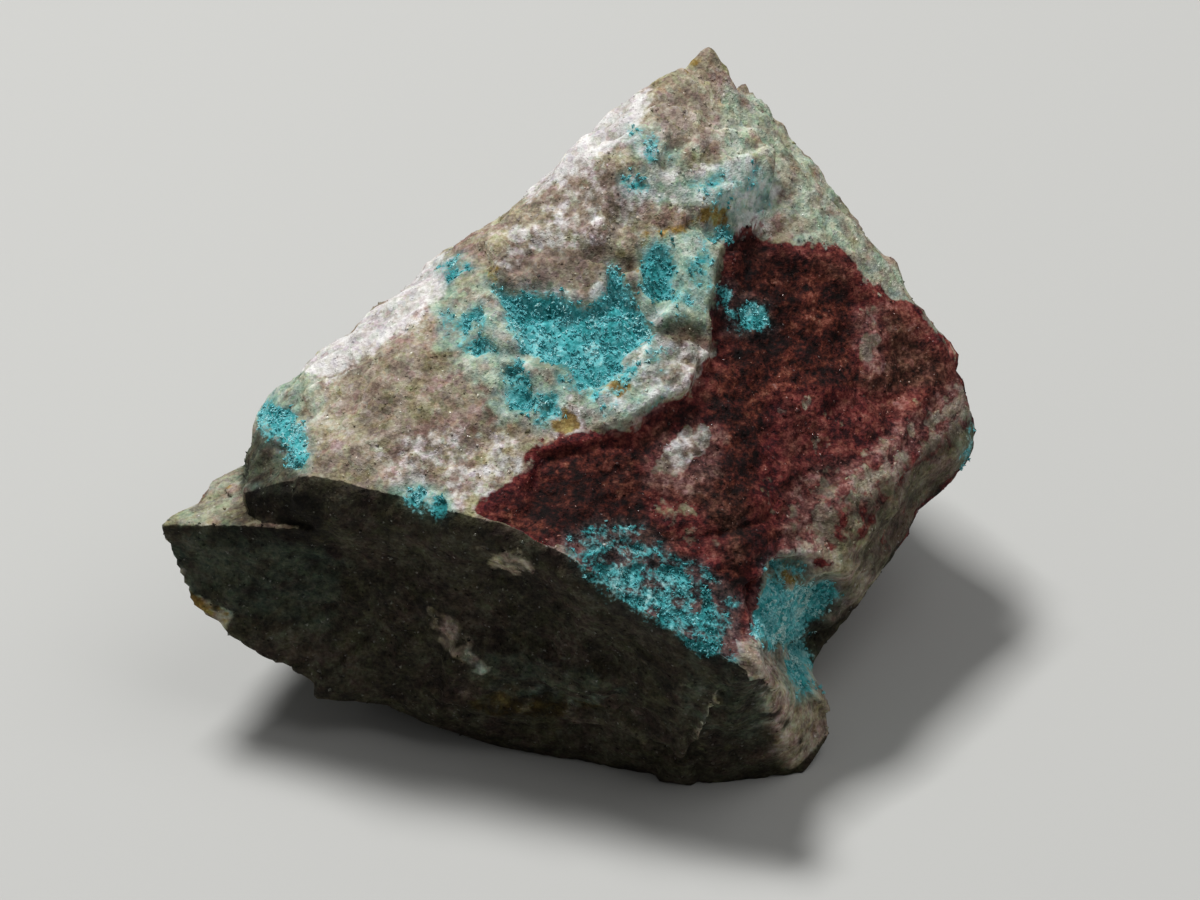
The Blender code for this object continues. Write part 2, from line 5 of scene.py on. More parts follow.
import bpy
import numpy as np
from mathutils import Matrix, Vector


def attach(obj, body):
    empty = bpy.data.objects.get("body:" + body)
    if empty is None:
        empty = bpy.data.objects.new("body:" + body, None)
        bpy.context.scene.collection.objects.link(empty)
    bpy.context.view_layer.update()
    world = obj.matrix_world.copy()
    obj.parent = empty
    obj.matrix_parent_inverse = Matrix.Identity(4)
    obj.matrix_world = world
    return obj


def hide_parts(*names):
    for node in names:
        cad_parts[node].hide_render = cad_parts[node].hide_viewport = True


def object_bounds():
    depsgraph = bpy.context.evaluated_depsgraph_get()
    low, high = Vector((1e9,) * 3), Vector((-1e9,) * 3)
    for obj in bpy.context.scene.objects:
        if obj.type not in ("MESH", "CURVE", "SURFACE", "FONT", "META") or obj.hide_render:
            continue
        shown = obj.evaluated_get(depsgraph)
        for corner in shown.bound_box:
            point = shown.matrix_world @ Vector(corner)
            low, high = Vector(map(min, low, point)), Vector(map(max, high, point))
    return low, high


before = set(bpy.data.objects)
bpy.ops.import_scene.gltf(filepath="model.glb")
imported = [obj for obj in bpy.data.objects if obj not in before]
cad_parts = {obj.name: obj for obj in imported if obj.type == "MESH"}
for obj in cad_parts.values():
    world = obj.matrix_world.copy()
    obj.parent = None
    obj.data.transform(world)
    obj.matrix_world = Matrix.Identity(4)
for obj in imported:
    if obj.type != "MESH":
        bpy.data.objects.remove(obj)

cad_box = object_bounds()
MM = 0.001

# The rock's broken faces: quartz-rich rock that split along joints into a block, a slab
# behind it, a ledge at the left and a short foot, all one piece. Sizes are millimetres,
# and a corner is (across to the right, up as seen, towards the viewer).
LOOKING_DOWN = np.radians(40.0)
SINE, COSINE = np.sin(LOOKING_DOWN), np.cos(LOOKING_DOWN)

# Corners of the main block: broken faces run straight from corner to corner.
BLOCK_SEEN = {
    "notch": (-17.6, -2.0, 4.0), "left low": (-17.6, 0.2, 0.3), "left top": (-16.6, 3.1, 0.8),
    "shoulder": (-14.9, 4.2, 2.0), "ridge a": (-14.7, -1.3, 6.3), "ridge b": (-9.5, -2.8, 7.3),
    "ridge c": (-4.9, -3.9, 8.2), "ridge d": (-1.7, -5.4, 8.6), "ridge e": (2.7, -8.5, 8.8),
    "ridge f": (7.1, -10.9, 8.2), "edge a": (-13.4, 5.0, 2.2), "edge b": (-8.0, 9.1, 1.0),
    "edge c": (-3.4, 13.0, -0.4), "edge in c": (-2.0, 12.4, 2.0), "edge d": (0.0, 16.3, -1.6),
    "edge in d": (2.2, 17.0, 0.8), "apex left": (4.5, 19.8, -0.8), "apex": (5.6, 20.5, -1.2),
    "apex right": (7.0, 18.1, -2.4), "crest": (8.4, 12.8, -0.6), "red a": (12.6, 10.1, -1.8),
    "red b": (15.1, 7.5, -2.8), "red c": (17.2, 5.8, -3.6), "red d": (19.2, 2.9, -4.4),
    "red e": (19.4, 1.0, -4.8), "waist a": (13.5, -3.2, 0.0), "waist b": (9.9, -6.9, 4.0),
    "side a": (18.1, -1.5, -5.2), "side b": (13.7, -7.1, -4.0), "side c": (12.4, -9.2, -3.2),
    "low a": (2.0, -16.2, -1.2), "low b": (-4.0, -14.9, -2.2), "low c": (-10.1, -13.3, -1.8),
    "low d": (-15.1, -11.7, -1.2), "low e": (-18.0, -9.8, -0.6),
}
# Hidden corners are given in level axes: (right, away from the viewer, up).
BLOCK_HIDDEN = {
    "base a": (5.0, -9.6, -14.3), "base b": (-3.0, -7.6, -14.3), "base c": (-10.5, -2.0, -14.3),
    "base d": (9.0, 5.5, -14.3), "back a": (-13.0, 7.0, -6.0), "back b": (-17.5, 1.5, -5.0),
    "back c": (-3.0, 13.5, 2.0),
}
# The paler slab standing behind the block, parted from it by a shallow cleft.
REAR_SEEN = {
    "peak": (7.6, 19.5, -8.0), "peak low": (9.0, 18.3, -8.4), "rim a": (9.7, 16.1, -9.0),
    "rim b": (11.4, 13.1, -9.4), "rim c": (13.8, 9.8, -9.0), "rim d": (16.2, 7.7, -8.0),
    "rim e": (17.9, 5.6, -6.6), "rim f": (19.2, 2.5, -5.6), "side": (18.1, -1.6, -6.0),
    "inner a": (-2.0, 1.5, 0.0), "inner b": (5.0, -9.5, 0.0), "inner c": (5.1, 16.2, -4.6),
    "inner d": (15.3, 3.6, -5.4), "inner e": (0.0, 12.2, -5.0),
}
REAR_HIDDEN = {
    "base a": (9.0, 6.0, -14.3), "base b": (0.5, 8.5, -14.3), "base c": (-9.0, 1.0, -14.3),
    "wall a": (3.0, 18.0, 5.0), "wall b": (-4.0, 16.5, -1.0), "wall c": (-10.0, 11.5, -6.5),
    "wall d": (12.5, 14.5, -3.0), "wall e": (15.0, 8.0, -7.5), "wall f": (2.0, 14.0, -10.5),
    "wall g": (-14.0, 5.0, -8.0),
}
# The level-topped ledge sticking out at the left.
LEDGE_SEEN = {
    "tip": (-22.2, -3.7, 2.2), "tip low": (-21.8, -5.3, 1.2), "back edge": (-20.9, -2.6, 0.8),
    "back": (-19.0, -0.8, -0.8), "back in": (-16.9, -0.7, -0.8), "front": (-18.4, -3.5, 3.4),
    "front in": (-14.8, -3.9, 5.0), "low a": (-20.5, -7.6, 0.2), "low b": (-19.1, -9.0, -0.2),
    "low c": (-16.9, -10.7, -0.8),
}
LEDGE_HIDDEN = {
    "back low": (-17.5, 3.0, -5.5), "in a": (-5.0, -6.0, -12.0), "in b": (3.0, 3.0, 2.0),
    "in c": (3.0, 3.0, -8.0), "in d": (3.0, -5.0, -3.0),
}
# The foot at the front right, below the narrow waist.
FOOT_SEEN = {
    "ridge": (6.7, -10.9, 8.0), "knee": (7.9, -11.1, 7.2), "side a": (10.2, -12.0, 2.0),
    "side b": (11.3, -12.6, -1.6), "toe a": (11.6, -14.4, -1.8), "toe b": (10.6, -16.0, -1.4),
    "toe c": (9.8, -16.7, -1.3), "toe d": (5.8, -16.9, -0.6), "toe e": (3.0, -16.6, -0.8),
}
FOOT_HIDDEN = {
    "base a": (9.6, -9.0, -14.3), "base b": (5.0, -9.7, -14.3), "base c": (3.0, -9.3, -14.3),
    "base d": (9.0, 2.0, -14.3), "in a": (-3.0, 3.0, -3.0), "in b": (3.0, 5.0, 0.0),
    "in c": (8.0, 3.0, -6.0),
}
MIDDLE_SEEN = (0.0, -1.5, -3.0)      # a point every part of the surface can be seen from
BASE_LEVEL = -13.4                   # the underside is cut flat here, to rest on
EDGE_SHARPNESS = 9.0                 # how tightly faces meet, per mm
CLEFT_SHARPNESS = 3.0                # how tightly lumps meet in a cleft, per mm
RIDGE_REACH = 1.6                    # how far round a ridge the relief dies away, per mm
RIDGE_CALM, CALM_BEHIND = 2.3, 0.7   # how strongly it does, in front and behind
RIDGE_LEAN = 0.2                     # faces met more aslant than this count as this
LEAST_LEAN = 1e-3                    # faces met more aslant than this are left out
LEAST_AREA, FLUSH = 1e-9, 1e-6       # corners in a row, and corners that lie in a face


def level(seen):
    """Turns as-seen points into level axes (right, away, up), by the angle looked down at."""
    s = np.atleast_2d(np.asarray(seen, float))
    return np.stack([s[:, 0], s[:, 1] * SINE - s[:, 2] * COSINE,
                     s[:, 1] * COSINE + s[:, 2] * SINE], 1)


def as_seen(points):
    """Turns level points into as-seen ones (across, up, near), the other way round."""
    return np.stack([points[:, 0], points[:, 1] * SINE + points[:, 2] * COSINE,
                     -points[:, 1] * COSINE + points[:, 2] * SINE], 1)


MIDDLE = level(MIDDLE_SEEN)[0]
TO_VIEWER = np.array((0.0, -COSINE, SINE))


def faces_between(seen, hidden):
    """The outer faces of the lump with these corners, as (normals, distances from the middle):
    a plane through three corners is a face when no other corner lies beyond it."""
    points = np.concatenate([level(list(seen.values())), np.array(list(hidden.values()))]) - MIDDLE
    threes = np.array(list(combinations(range(len(points)), 3)))
    first, second, third = (points[threes[:, k]] for k in range(3))
    normals = np.cross(second - first, third - first)
    size = np.linalg.norm(normals, axis=1)
    solid = size > LEAST_AREA
    normals = normals[solid] / size[solid, None]
    distances = (normals * first[solid]).sum(1)
    beyond = normals @ points.T - distances[:, None]
    outward, inward = (beyond < FLUSH).all(1), (beyond > -FLUSH).all(1)
    normals = np.concatenate([normals[outward], -normals[inward]])
    distances = np.concatenate([distances[outward], -distances[inward]])
    return normals, distances


LUMPS = [faces_between(seen, hidden) for seen, hidden in (
    (BLOCK_SEEN, BLOCK_HIDDEN), (REAR_SEEN, REAR_HIDDEN),
    (LEDGE_SEEN, LEDGE_HIDDEN), (FOOT_SEEN, FOOT_HIDDEN))]


def meet(ways, normals, distances, relief=0.0):
    """How squarely each way meets each face's plane, and how far out: the plane's distance
    and the relief, over that lean. A plane met too aslant counts as far off."""
    lean = ways @ normals.T
    far = (distances + np.reshape(relief, (-1, 1))) / np.maximum(lean, LEAST_LEAN)
    return lean, np.where(lean > LEAST_LEAN, far, 1 / LEAST_LEAN)


def reach(ways, relief=0.0):
    """How far the surface is from the middle along each way, and which way it faces there:
    the nearest face of each lump, with soft edges, then the lump that reaches furthest, with
    soft clefts."""
    reaches, facings = [], []
    for normals, distances in LUMPS:
        far = meet(ways, normals, distances, relief)[1]
        nearest = far.min(1)
        share = np.exp(-EDGE_SHARPNESS * (far - nearest[:, None]))
        reaches.append(nearest - np.log(share.sum(1)) / EDGE_SHARPNESS)
        facings.append(share @ normals / share.sum(1)[:, None])
    furthest = np.max(reaches, axis=0)
    share = np.exp(CLEFT_SHARPNESS * (np.array(reaches) - furthest))
    facing = (share[:, :, None] * np.array(facings)).sum(0)
    furthest = furthest + np.log(share.sum(0)) / CLEFT_SHARPNESS
    return furthest, facing / np.linalg.norm(facing, axis=1, keepdims=True)


def openness(ways):
    """1 on open faces, less over a ridge: the length of the mean of the faces met nearby."""
    furthest = np.full(len(ways), -1.0)
    found = np.ones(len(ways))
    for normals, distances in LUMPS:
        lean, far = meet(ways, normals, distances)
        nearest = far.min(1)
        share = np.exp(-RIDGE_REACH * (far - nearest[:, None]) * np.maximum(lean, RIDGE_LEAN))
        mean = np.linalg.norm(share @ normals, axis=1) / share.sum(1)
        outer = nearest > furthest
        furthest = np.where(outer, nearest, furthest)
        found = np.where(outer, mean, found)
    return found


# The relief of the break: benches, hollows and steps left as chips came away, with swells,
# conchoidal chips and fine ledges along the bedding. It is broken, not worked or worn.
# Benches, hollows and steps: (height, width of the slope round it, outline as seen).
FORMS = {
    "upper bench": (0.60, 0.65, ((-6.2, 10.4), (-4.0, 12.2), (-2.0, 14.4), (2.5, 18.4), (6.0, 18.0),
                                 (7.6, 15.0), (8.2, 12.6), (5.0, 11.1), (3.2, 10.9), (2.0, 11.4),
                                 (0.6, 11.3), (0.1, 10.7), (-0.5, 10.4), (-1.5, 10.35),
                                 (-2.8, 10.5), (-4.0, 10.3), (-5.2, 9.4))),
    "upper lump": (0.35, 0.4, ((0.0, 14.3), (1.3, 14.5), (3.0, 13.8), (2.8, 12.8), (1.8, 12.3),
                               (0.5, 12.8), (-0.3, 13.5))),
    "round knob": (0.30, 0.4, ((2.0, 15.6), (3.5, 15.7), (4.5, 14.9), (4.2, 14.2), (3.0, 13.8),
                               (2.3, 14.5))),
    "crest lobe": (0.40, 0.5, ((4.5, 14.3), (7.3, 15.0), (8.2, 14.0), (8.3, 12.5), (7.3, 11.8),
                               (5.8, 11.4), (4.5, 11.3), (3.0, 12.3))),
    "plate": (0.32, 0.40, ((-5.0, 9.6), (-4.0, 10.2), (-0.9, 10.2), (-0.8, 9.7), (0.6, 9.3),
                           (0.5, 8.7), (0.2, 8.0), (-0.5, 7.4), (-1.3, 7.2), (-1.7, 7.5),
                           (-2.4, 8.0), (-3.0, 8.2), (-3.8, 8.0), (-4.8, 8.1), (-5.1, 8.8))),
    "crack under the bench": (-0.35, 0.5, ((-0.9, 10.2), (0.1, 10.3), (1.1, 9.9), (2.1, 9.5),
                                           (1.7, 9.0), (0.1, 9.3), (-0.8, 9.6))),
    "ajoite hollow": (-0.50, 0.5, ((-5.3, 7.9), (-2.5, 7.7), (-1.0, 7.0), (0.0, 7.3), (0.6, 8.5),
                                   (2.0, 7.8), (2.7, 5.9), (2.0, 4.8), (1.2, 3.7), (0.0, 2.9),
                                   (-1.2, 4.2), (-2.6, 4.7), (-3.9, 5.8))),
    "crack by the hollow": (-0.35, 0.4, ((0.5, 9.0), (0.9, 8.9), (1.7, 7.7), (2.5, 6.2),
                                          (2.0, 6.0), (1.2, 7.5), (0.5, 8.4))),
    "rib between hollows": (0.35, 0.4, ((1.1, 8.9), (2.0, 9.4), (2.6, 8.8), (2.8, 6.9), (2.3, 6.6),
                                        (1.8, 7.5))),
    "right hollow": (-0.35, 0.5, ((2.1, 10.2), (3.4, 10.4), (3.8, 9.4), (3.8, 7.5), (3.0, 6.8),
                                  (2.3, 7.5))),
    "right shelf": (0.60, 0.9, ((2.8, 10.5), (5.0, 10.9), (5.8, 10.0), (5.8, 5.6), (4.2, 6.1),
                                (2.8, 6.2), (3.4, 7.5), (3.8, 9.4))),
    "bump left of hollow": (0.35, 0.5, ((-6.0, 7.3), (-5.0, 7.5), (-4.1, 6.0), (-3.9, 4.9),
                                        (-4.8, 4.6), (-5.6, 5.3))),
    "small hollow": (-0.45, 0.5, ((-5.0, 4.2), (-3.9, 4.3), (-3.4, 3.0), (-3.5, 2.1), (-4.4, 2.0),
                                  (-4.9, 2.8))),
    "pale wedge": (0.40, 0.4, ((-0.7, 2.5), (1.4, 4.9), (2.5, 5.5), (4.9, 5.2), (5.8, 4.8),
                               (4.9, 4.2), (4.4, 3.0), (2.7, 2.3), (1.0, 1.2), (-0.5, 1.2))),
    "red face": (-0.45, 0.5, ((8.4, 11.8), (7.1, 11.2), (6.1, 9.9), (5.6, 7.4), (5.7, 4.7),
                              (4.9, 4.1), (4.4, 2.6), (2.0, 1.5), (0.0, 0.5), (-3.2, -0.1),
                              (-3.9, -2.0), (1.9, -5.4), (9.9, -3.5), (15.0, 1.0), (17.2, 4.5),
                              (13.1, 8.0), (9.0, 10.2))),
    "front hollow": (-1.3, 3.0, ((-14.8, -4.4), (-9.8, -4.7), (-3.9, -6.4), (2.0, -10.3),
                                 (3.9, -13.0), (0.0, -14.8), (-6.0, -13.2), (-12.5, -11.5),
                                 (-16.5, -9.0))),
    "front shelf": (0.6, 0.9, ((-8.5, -9.9), (-2.0, -11.0), (4.4, -12.3), (4.0, -14.4),
                               (-2.0, -14.3), (-8.0, -12.7))),
    "waist": (-1.3, 1.0, ((7.9, -7.4), (8.6, -5.7), (10.5, -5.4), (12.5, -7.0), (12.0, -9.6),
                          (11.1, -12.0), (9.4, -11.8), (7.8, -9.8))),
    "waist knob": (0.8, 0.6, ((6.9, -9.5), (8.1, -9.1), (9.4, -10.0), (9.0, -11.1), (7.3, -11.0))),
    "foot facet": (-0.5, 0.9, ((6.8, -11.2), (8.1, -11.6), (10.0, -12.1), (11.3, -12.8),
                               (11.8, -14.5), (10.4, -17.0), (5.0, -17.0), (4.4, -15.0),
                               (5.0, -13.8), (6.3, -12.1))),
    "left face": (-0.5, 0.6, ((-17.2, -1.0), (-16.4, 0.5), (-14.7, -1.0), (-15.2, -1.9),
                              (-17.0, -2.1))),
    "side hollow": (-0.3, 0.9, ((13.9, -2.5), (16.8, -0.3), (17.7, -1.5), (15.2, -4.5),
                                (13.6, -5.5), (12.4, -5.4))),
}
OUTLINE_WOBBLE = ((0.35, 1.7), (0.15, 0.7))   # outlines wander: (how far, over what length)
FULL_WOBBLE_SLOPE = 0.7                       # narrower slopes wander less
FRONT_FROM, FRONT_FULL = 0.05, 0.35           # how squarely a face must look at the viewer

# Relief of the broken rock: (height, length) of each kind.
ROLLS = ((0.30, 6.0), (0.12, 2.6))            # soft swells, which the edges share
CHIPS = ((0.95, 4.6), (0.40, 1.9))            # flat conchoidal chips with creases between
CHIP_BEND, CHIP_BEND_LENGTH = 0.5, 2.5
BEDDING_SEEN = (-0.545, 0.839, -0.25)         # square to the bedding, which climbs to the right
# Ledges along the bedding: height, spacing, share of the spacing taken by the drop, and how
# far the beds wander, in spacings, over what length.
LEDGES = ((0.24, 2.3, 0.24, 1.4, 6.0), (0.09, 0.9, 0.30, 1.0, 3.0))
LEDGES_COME, LEAST_LEDGE = (-0.1, 0.5), 0.15  # field values where ledges show; the least share
APART = 9.0                                   # points this far apart in a field are unlike
REPEAT = 256                                  # every field repeats after this many units
CALM_FROM, CALM_FULL = 0.6, 2.6               # the relief starts this far above the base
GRAZE_FROM, GRAZE_FULL = 0.12, 0.45           # less relief where a face runs along its own way
BEDDING = level(BEDDING_SEEN)[0] / np.linalg.norm(BEDDING_SEEN)
GRAIN_CHIPS = ((0.20, 0.85), (0.11, 0.45))    # the finest facets, about the size of a grain
CRUST_DEPTH = 0.16                            # the rock lies this far under the crystals' tips


def smooth_rise(low, high, value):
    """0 up to low and 1 from high, with an S between: three squares less two cubes of the way."""
    t = np.clip((value - low) / (high - low), 0.0, 1.0)
    return t * t * (3.0 - 2.0 * t)


def drawn(order, cells):
    """Each cell's own place in a table: three look-ups in a shuffled row of places."""
    return order[order[order[cells[:, 0]] + cells[:, 1]] + cells[:, 2]]


class Swells:
    """Smooth random field, one swell per unit of length: random slopes at the corners of unit
    cubes, faded into one another by a smooth S, then raised by GAIN to run from about -1 to 1."""

    GAIN = 1.6

    def __init__(self, seed):
        rng = np.random.default_rng(seed)
        self.order = np.tile(rng.permutation(REPEAT), 3)
        slopes = rng.normal(size=(REPEAT, 3))
        self.slopes = slopes / np.linalg.norm(slopes, axis=1, keepdims=True)

    def __call__(self, points):
        cell = np.floor(points).astype(np.int64)
        inside = points - cell
        cell %= REPEAT
        fade = inside ** 3 * (inside * (inside * 6 - 15) + 10)
        total = np.zeros(len(points))
        for corner in np.ndindex(2, 2, 2):
            weight = np.abs(1.0 - np.array(corner) - fade).prod(1)
            slope = self.slopes[drawn(self.order, cell + corner)]
            total += weight * ((inside - corner) * slope).sum(1)
        return self.GAIN * total


class Facets:
    """Flat facets with creases between: the nearest of scattered seeds, each measured
    with its own turned box, so that every seed stands in a small blunt pyramid."""

    UNEVEN = 0.35                             # how much further off some seeds count as being

    def __init__(self, seed):
        rng = np.random.default_rng(seed)
        self.order = np.tile(rng.permutation(REPEAT), 3)
        self.spots = rng.random((REPEAT, 3))
        self.rises = self.UNEVEN * rng.random(REPEAT)
        self.turns = np.linalg.qr(rng.normal(size=(REPEAT, 3, 3)))[0]

    def __call__(self, points):
        cell = np.floor(points).astype(np.int64)
        nearest = np.full(len(points), np.inf)
        for step in np.ndindex(3, 3, 3):
            beside = cell + step - 1
            seed = drawn(self.order, beside % REPEAT)
            away = points - beside - self.spots[seed]
            box = np.abs(np.einsum("nij,nj->ni", self.turns[seed], away)).max(1)
            nearest = np.minimum(nearest, box + self.rises[seed])
        return nearest


ROLL, BED_BEND, BED_PLACES, WANDER = Swells(11), Swells(12), Swells(13), Swells(15)
BIG_CHIP, MID_CHIP = Facets(21), Facets(22)
FINE_CHIPS = Facets(23), Facets(24)


def depth_inside(across, up, outline):
    """Distance inside an outline, below zero outside it: to the nearest point of its sides,
    and inside where a line drawn sideways crosses an odd number of them."""
    corners = np.array(outline)
    nearest = np.full(len(across), np.inf)
    within = np.zeros(len(across), bool)
    for (ax, ay), (bx, by) in zip(corners, np.roll(corners, -1, axis=0)):
        run, climb = bx - ax, by - ay
        along = ((across - ax) * run + (up - ay) * climb) / (run * run + climb * climb)
        along = np.clip(along, 0, 1)
        nearest = np.minimum(nearest, np.hypot(across - ax - along * run, up - ay - along * climb))
        crossing = ax + (up - ay) * run / (climb or 1.0)      # a level side is never crossed
        within ^= ((ay > up) != (by > up)) & (across < crossing)
    return np.where(within, nearest, -nearest)


def layered(field, points, layers, part=0):
    """Layers of a field, each (height, length), added up from unlike parts of it."""
    return sum(high * field(points / length + part + APART * k)
               for k, (high, length) in enumerate(layers))


def pull_at(points, length, first):
    """A random pull at each point, about -1 to 1 along each axis: three parts of a field."""
    return np.stack([WANDER(points / length + APART * (first + k)) for k in range(3)], 1)


def calm_at(points):
    """0 by the base, which is cut flat, and 1 a little way above it."""
    return smooth_rise(CALM_FROM, CALM_FULL, points[:, 2] - BASE_LEVEL)


def ledges(height, drop):
    """Steps that rise slowly and drop quickly, -0.5 to 0.5, one per unit of height."""
    part = height - np.floor(height)
    return np.where(part < 1 - drop, part / (1 - drop), (1 - part) / drop) - 0.5


def rolls_at(points):
    """Soft swells of the whole surface, its edges too, so that no edge runs dead straight."""
    return calm_at(points) * layered(ROLL, points, ROLLS)


def relief_at(points, facing):
    """Height of the relief over the plain faces: forms drawn as seen, then broken rock."""
    seen = as_seen(points)
    front = smooth_rise(FRONT_FROM, FRONT_FULL, facing @ TO_VIEWER)
    wobble = layered(WANDER, points, OUTLINE_WOBBLE)
    total = np.zeros(len(points))
    for height, slope, outline in FORMS.values():
        inside = depth_inside(seen[:, 0], seen[:, 1], outline)
        inside = inside + wobble * min(1.0, slope / FULL_WOBBLE_SLOPE)
        total += height * front * smooth_rise(-slope / 2, slope / 2, inside)

    rock = np.zeros(len(points))
    for k, (high, spacing, drop, wander, length) in enumerate(LEDGES):
        beds = points @ BEDDING / spacing + wander * BED_BEND(points / length + APART * k)
        shown = smooth_rise(*LEDGES_COME, BED_PLACES(points / length + APART * k))
        rock += high * (LEAST_LEDGE + (1 - LEAST_LEDGE) * shown) * ledges(beds, drop)
    bent = points + CHIP_BEND * pull_at(points, CHIP_BEND_LENGTH, 2)
    for (high, length), field in zip(CHIPS, (BIG_CHIP, MID_CHIP)):
        rock += high * (0.5 - field(bent / length))
    return total + calm_at(points) * rock


# The minerals: hematite stains one side dark red, ajoite crusts the hollows, limonite has
# left ochre spots and old quartz shows white. They grew in place, so each follows an outline
# measured in the photograph, 1200 by 900 pixels, and the unseen sides get patches of the same.
# Painted shade and painted highlights are laid out the same way: the front face, faces turned
# down, cracks and recesses darker, and the lit upper edges white.
MIDDLE_PIXEL = (600.0, 450.0)
MM_PER_PIXEL = 0.05
VIEW_DISTANCE = 300.0
FURTHEST_OUT = -1.5                           # mm: amounts stop falling past this
SEEN_FACING = (-0.35, 0.0)                    # patches reach this far round past the outline

# Each patch: (the most it counts for, in mm, and its outline in pixels). A patch that counts
# for little, or for less than nothing, comes out speckled.
AJOITE = {
    "main hollow": (1.0, ((488, 284), (505, 290), (530, 292), (552, 292), (566, 301), (578, 308),
                          (598, 302), (606, 284), (612, 270), (622, 282), (634, 300), (648, 322),
                          (656, 334), (642, 345), (630, 352), (624, 368), (612, 380), (596, 388),
                          (575, 380), (562, 366), (545, 358), (525, 350), (512, 328), (500, 304))),
    "second hollow": (0.45, ((642, 250), (656, 243), (670, 252), (676, 275), (672, 296), (660, 304),
                             (645, 296))),
    "green fade": (-0.10, ((664, 245), (700, 240), (712, 262), (708, 300), (700, 318), (670, 318),
                           (655, 305))),
    "left of hollow": (-0.02, ((440, 316), (478, 310), (486, 326), (470, 340), (446, 336))),
    "left low": (0.0, ((465, 340), (490, 342), (498, 354), (476, 354))),
    "small hollow": (0.30, ((500, 366), (520, 364), (530, 388), (540, 404), (528, 414), (510, 408))),
    "small hollow edge": (-0.05, ((528, 392), (556, 396), (560, 418), (536, 424), (526, 410))),
    "below hollow": (-0.06, ((560, 378), (600, 380), (622, 362), (636, 366), (626, 392), (590, 396))),
    "wedge spots": (-0.12, ((646, 350), (666, 352), (664, 370), (646, 368))),
    "wedge low spots": (-0.22, ((640, 386), (668, 386), (664, 398), (612, 424), (604, 408))),
    "left patch": (1.0, ((254, 404), (268, 402), (284, 408), (300, 424), (306, 448), (303, 468),
                         (292, 466), (284, 448), (272, 440), (262, 428))),
    "ridge patch": (0.06, ((404, 496), (416, 490), (434, 494), (446, 508), (442, 517), (420, 512))),
    "crest film": (-0.12, ((690, 190), (722, 172), (752, 168), (768, 182), (768, 206), (745, 216),
                           (712, 205))),
    "upper spot": (0.25, ((625, 181), (638, 178), (645, 186), (634, 191))),
    "knob film": (-0.10, ((634, 134), (650, 130), (664, 152), (668, 164), (650, 158), (638, 148))),
    "crest spots": (-0.06, ((706, 228), (722, 226), (732, 236), (720, 242), (708, 238))),
    "red spot a": (0.05, ((716, 288), (728, 290), (730, 302), (718, 304))),
    "red spot b": (0.15, ((742, 304), (764, 304), (768, 322), (754, 332), (740, 322))),
    "red spot c": (-0.12, ((728, 312), (742, 312), (742, 328), (730, 328))),
    "front patch": (-0.02, ((598, 568), (622, 562), (650, 565), (678, 570), (705, 585), (712, 600),
                           (724, 612), (728, 640), (716, 655), (690, 645), (668, 625), (640, 608),
                           (612, 592))),
    "front patch edge": (-0.14, ((566, 540), (600, 526), (640, 532), (668, 556), (706, 572),
                                 (736, 610), (730, 656), (690, 640), (600, 590))),
    "recess": (0.60, ((756, 600), (766, 584), (800, 586), (828, 580), (840, 596), (812, 620),
                      (798, 642), (772, 648), (757, 634))),
    "recess top": (-0.08, ((768, 562), (800, 560), (806, 584), (770, 590))),
    "recess strip": (0.45, ((786, 646), (802, 642), (812, 656), (812, 688), (800, 696), (792, 676))),
    "silhouette": (-0.05, ((972, 424), (984, 424), (984, 466), (966, 466))),
    "left upper rim": (0.0, ((440, 266), (462, 258), (470, 268), (448, 280))),
}
AJOITE_HIDDEN = (                             # (most it counts for, radius, centre in level axes)
    (0.30, 3.0, (-9.0, 10.5, 0.5)), (0.05, 2.4, (2.0, 16.5, 1.0)), (0.35, 2.2, (13.0, 11.0, -5.0)),
    (0.0, 3.4, (-15.5, 4.5, -6.0)), (0.15, 2.4, (7.5, 13.5, -8.5)), (0.25, 1.8, (-3.0, 15.0, -5.5)),
    (-0.1, 3.0, (0.0, 15.5, 8.0)),
)
RED = {
    "red face": (3.0, ((765, 214), (742, 225), (724, 244), (718, 280), (711, 300), (708, 330),
                       (714, 354), (700, 363), (692, 386), (688, 398), (660, 404), (640, 420),
                       (625, 431), (590, 430), (560, 436), (532, 446), (525, 468), (514, 482),
                       (490, 491), (474, 508), (464, 530), (500, 560), (553, 580), (600, 640),
                       (640, 660), (710, 690), (745, 690), (758, 650), (757, 600), (768, 562),
                       (808, 540), (816, 512), (832, 492), (880, 490), (902, 460), (930, 440),
                       (962, 420), (978, 396), (952, 342), (936, 332), (917, 302), (903, 300),
                       (872, 288), (862, 272), (852, 252), (830, 246), (800, 243), (777, 241),
                       (767, 234))),
    "mottled side": (-0.02, ((808, 545), (816, 508), (832, 488), (880, 488), (902, 458), (930, 438),
                             (975, 395), (984, 430), (940, 520), (900, 560), (830, 585))),
}
RED_HIDDEN = ((2.0, 7.5, (17.0, 5.5, -4.5)), (0.0, 8.0, (9.0, 13.0, -7.0)),
              (1.0, 4.0, (-8.0, 9.0, -8.5)))
